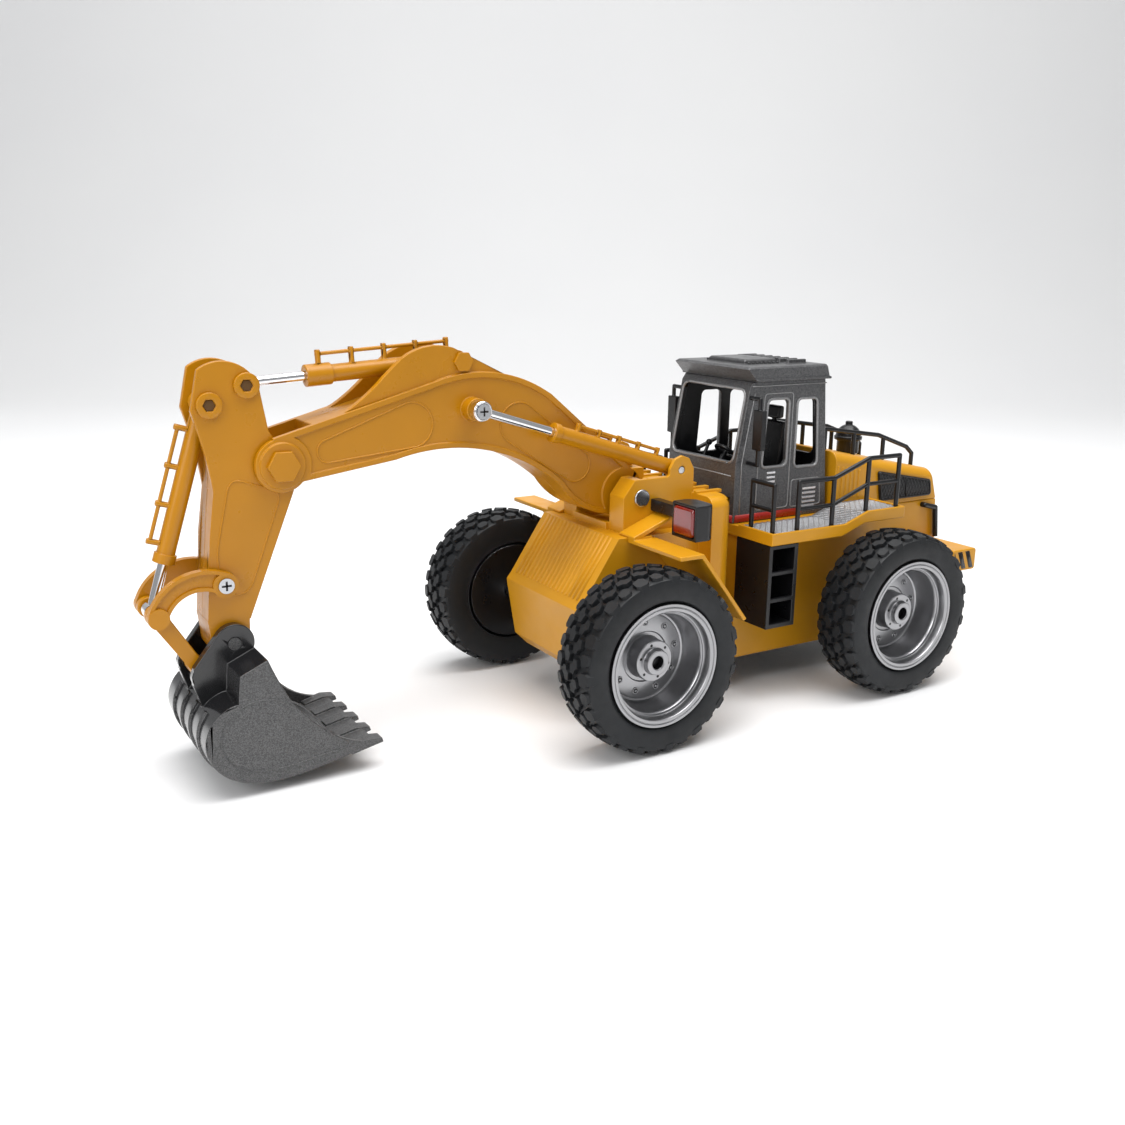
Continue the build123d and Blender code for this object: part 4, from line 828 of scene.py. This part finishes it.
def hazard_stripes():
    """Black slanted stripes on the bumper's ends."""
    low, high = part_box("rear_bumper")
    bottom, top, rear = low.z + STRIPE_EDGE, high.z - STRIPE_EDGE, high.x - STRIPE_EDGE
    bm = bmesh.new()
    for side in SIDES:
        y_low, y_high = sorted((side * (high.y - 0.3 * MM), side * (high.y + 0.06 * MM)))
        for i in range(3):
            start = low.x + STRIPE_START + STRIPE_PITCH * i
            end = start + STRIPE_WIDTH
            points = [(start, bottom), (end, bottom), (end + STRIPE_SLANT, top), (start + STRIPE_SLANT, top)]
            prism(bm, [(min(x, rear), z) for x, z in points], y_low, y_high)
    add_piece("bumper_stripes", finish_mesh(bm, "bumper_stripes"), "rear_chassis", "black_plastic")


NOSE_RIB_SPAN = 14.05
NOSE_RIB_PITCH = 2.55


def nose_ribs():
    """Ribs that carry the moulded pattern of the front hull's nose out towards its corners."""
    lines = []
    for side in SIDES:
        for step in (1, 2, 3):
            y = side * (NOSE_RIB_SPAN + NOSE_RIB_PITCH * step)
            lines.append(([at(-4.1, y, 67.0), at(10.0, y, 46.0)], False))
    beads("nose_ribs", BODY_OF["front_hull"], "body_yellow", lines, 0.6)


BUCKET_DROP = [
    (111.5, 26.6), (119.6, 30.4), (128.2, 30.6), (134.6, 26.4), (137.2, 19.4), (134.8, 12.6), (128.4, 8.6),
    (119.0, 7.6), (107.0, 9.0), (97.0, 10.8), (103.5, 16.6)]


def bucket_outline():
    """The teardrop outline pressed into the bucket's sides."""
    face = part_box("bucket")[1].y
    drop = [(p.x, p.y) for p in smooth_loop([(x, z, 0) for x, z in BUCKET_DROP], 4)]
    loops = [(side_line(drop, side * face), True) for side in SIDES]
    beads("bucket_side_outlines", "bucket", "bucket_grey", loops, 0.3)


def details():
    arm_outlines()
    screw_marks()
    cab_trim()
    cab_louvres()
    cab_band()
    roof_studs()
    grip_ridges()
    grille_mesh()
    hazard_stripes()
    nose_ribs()
    bucket_outline()


def plain_nodes():
    """CAD nodes whose shape is right get their material only."""
    for name, cad in frame["nodes"].items():
        cad.data.materials.clear()
        cad.data.materials.append(M[SLOT_OF[name]])


# ------------------------------------------------------------------ stage, light and camera
CAMERA_PLACE = at(217.66, 351.67, 161.31)
CAMERA_YAW = -2.119
CAMERA_PITCH = 0.255
CAMERA_ROLL = -0.013
CAMERA_LENS = 36.83

PAPER_BEND = 0.7
PAPER_START = 0.9
PAPER_HALF = 4.0


def stage():
    """Pale paper that lies under the object and curves up behind it, across the camera's view."""
    away = Vector((cos(CAMERA_YAW), sin(CAMERA_YAW), 0))
    across = Vector((-away.y, away.x, 0))
    bend = [(sin(pi / 2 * i / 12), 1 - cos(pi / 2 * i / 12)) for i in range(1, 13)]
    profile = [(-3.0, 0.0), (PAPER_START, 0.0)]
    profile += [(PAPER_START + PAPER_BEND * d, PAPER_BEND * h) for d, h in bend]
    profile.append((PAPER_START + PAPER_BEND, 3.0))
    bm = bmesh.new()
    rows = []
    for distance, height in profile:
        middle = away * distance + Vector((0, 0, height))
        rows.append([bm.verts.new(middle + across * s) for s in (-PAPER_HALF, PAPER_HALF)])
    for first, second in zip(rows, rows[1:]):
        bm.faces.new((first[0], first[1], second[1], second[0]))
    paper = bpy.data.objects.new("paper_sweep", finish_mesh(bm, "paper_sweep"))
    bpy.context.scene.collection.objects.link(paper)
    paper.location.z = cad_low.z - 0.02 * MM
    material, tree, bsdf = shader("paper")
    pale = ramp(tree, noise(tree, 3, detail=2), (0.3, (0.87, 0.87, 0.875)), (0.7, (0.89, 0.89, 0.89)))
    tree.links.new(pale, bsdf.inputs["Base Color"])
    bsdf.inputs["Roughness"].default_value = 0.6
    bsdf.inputs["Specular IOR Level"].default_value = 0.25
    paper.data.materials.append(material)


def room():
    """Even, faint light from everywhere."""
    world = bpy.data.worlds.new("studio")
    bpy.context.scene.world = world
    world.use_nodes = True
    background = world.node_tree.nodes["Background"].inputs
    background["Color"].default_value = (0.86, 0.87, 0.88, 1)
    background["Strength"].default_value = 0.4


def softbox(name, place, size, power, aim=(0.02, 0.0, 0.05)):
    data = bpy.data.lights.new(name, "AREA")
    data.shape = "RECTANGLE"
    data.size, data.size_y = size
    data.energy = power
    lamp = bpy.data.objects.new(name, data)
    bpy.context.scene.collection.objects.link(lamp)
    lamp.location = place
    lamp.rotation_euler = (Vector(aim) - Vector(place)).to_track_quat("-Z", "Y").to_euler()


def lights():
    softbox("overhead", (-0.05, 0.05, 1.0), (1.3, 1.0), 12.0)
    softbox("front_left", (0.95, 0.45, 0.60), (0.5, 0.7), 5.0)
    softbox("backdrop_wash", (0.1, 0.2, 1.4), (1.6, 0.6), 11.0, aim=(-0.35, -1.2, 0.4))


def camera():
    data = bpy.data.cameras.new("camera")
    data.sensor_width = 36.0
    data.lens = CAMERA_LENS
    data.clip_start = 0.01
    data.clip_end = 50
    seat = bpy.data.objects.new("camera", data)
    bpy.context.scene.collection.objects.link(seat)
    flat = cos(CAMERA_PITCH)
    forward = Vector((cos(CAMERA_YAW) * flat, sin(CAMERA_YAW) * flat, -sin(CAMERA_PITCH)))
    level = Vector((sin(CAMERA_YAW), -cos(CAMERA_YAW), 0))
    down = forward.cross(level)
    right = cos(CAMERA_ROLL) * level + sin(CAMERA_ROLL) * down
    up = -(cos(CAMERA_ROLL) * down - sin(CAMERA_ROLL) * level)
    turn = Matrix((right, up, -forward)).transposed()
    seat.matrix_world = Matrix.Translation(CAMERA_PLACE) @ turn.to_4x4()
    bpy.context.scene.camera = seat


plain_nodes()
wheels()
bodywork()
details()
stage()
room()
lights()
camera()
bpy.context.scene.view_settings.view_transform = "Standard"
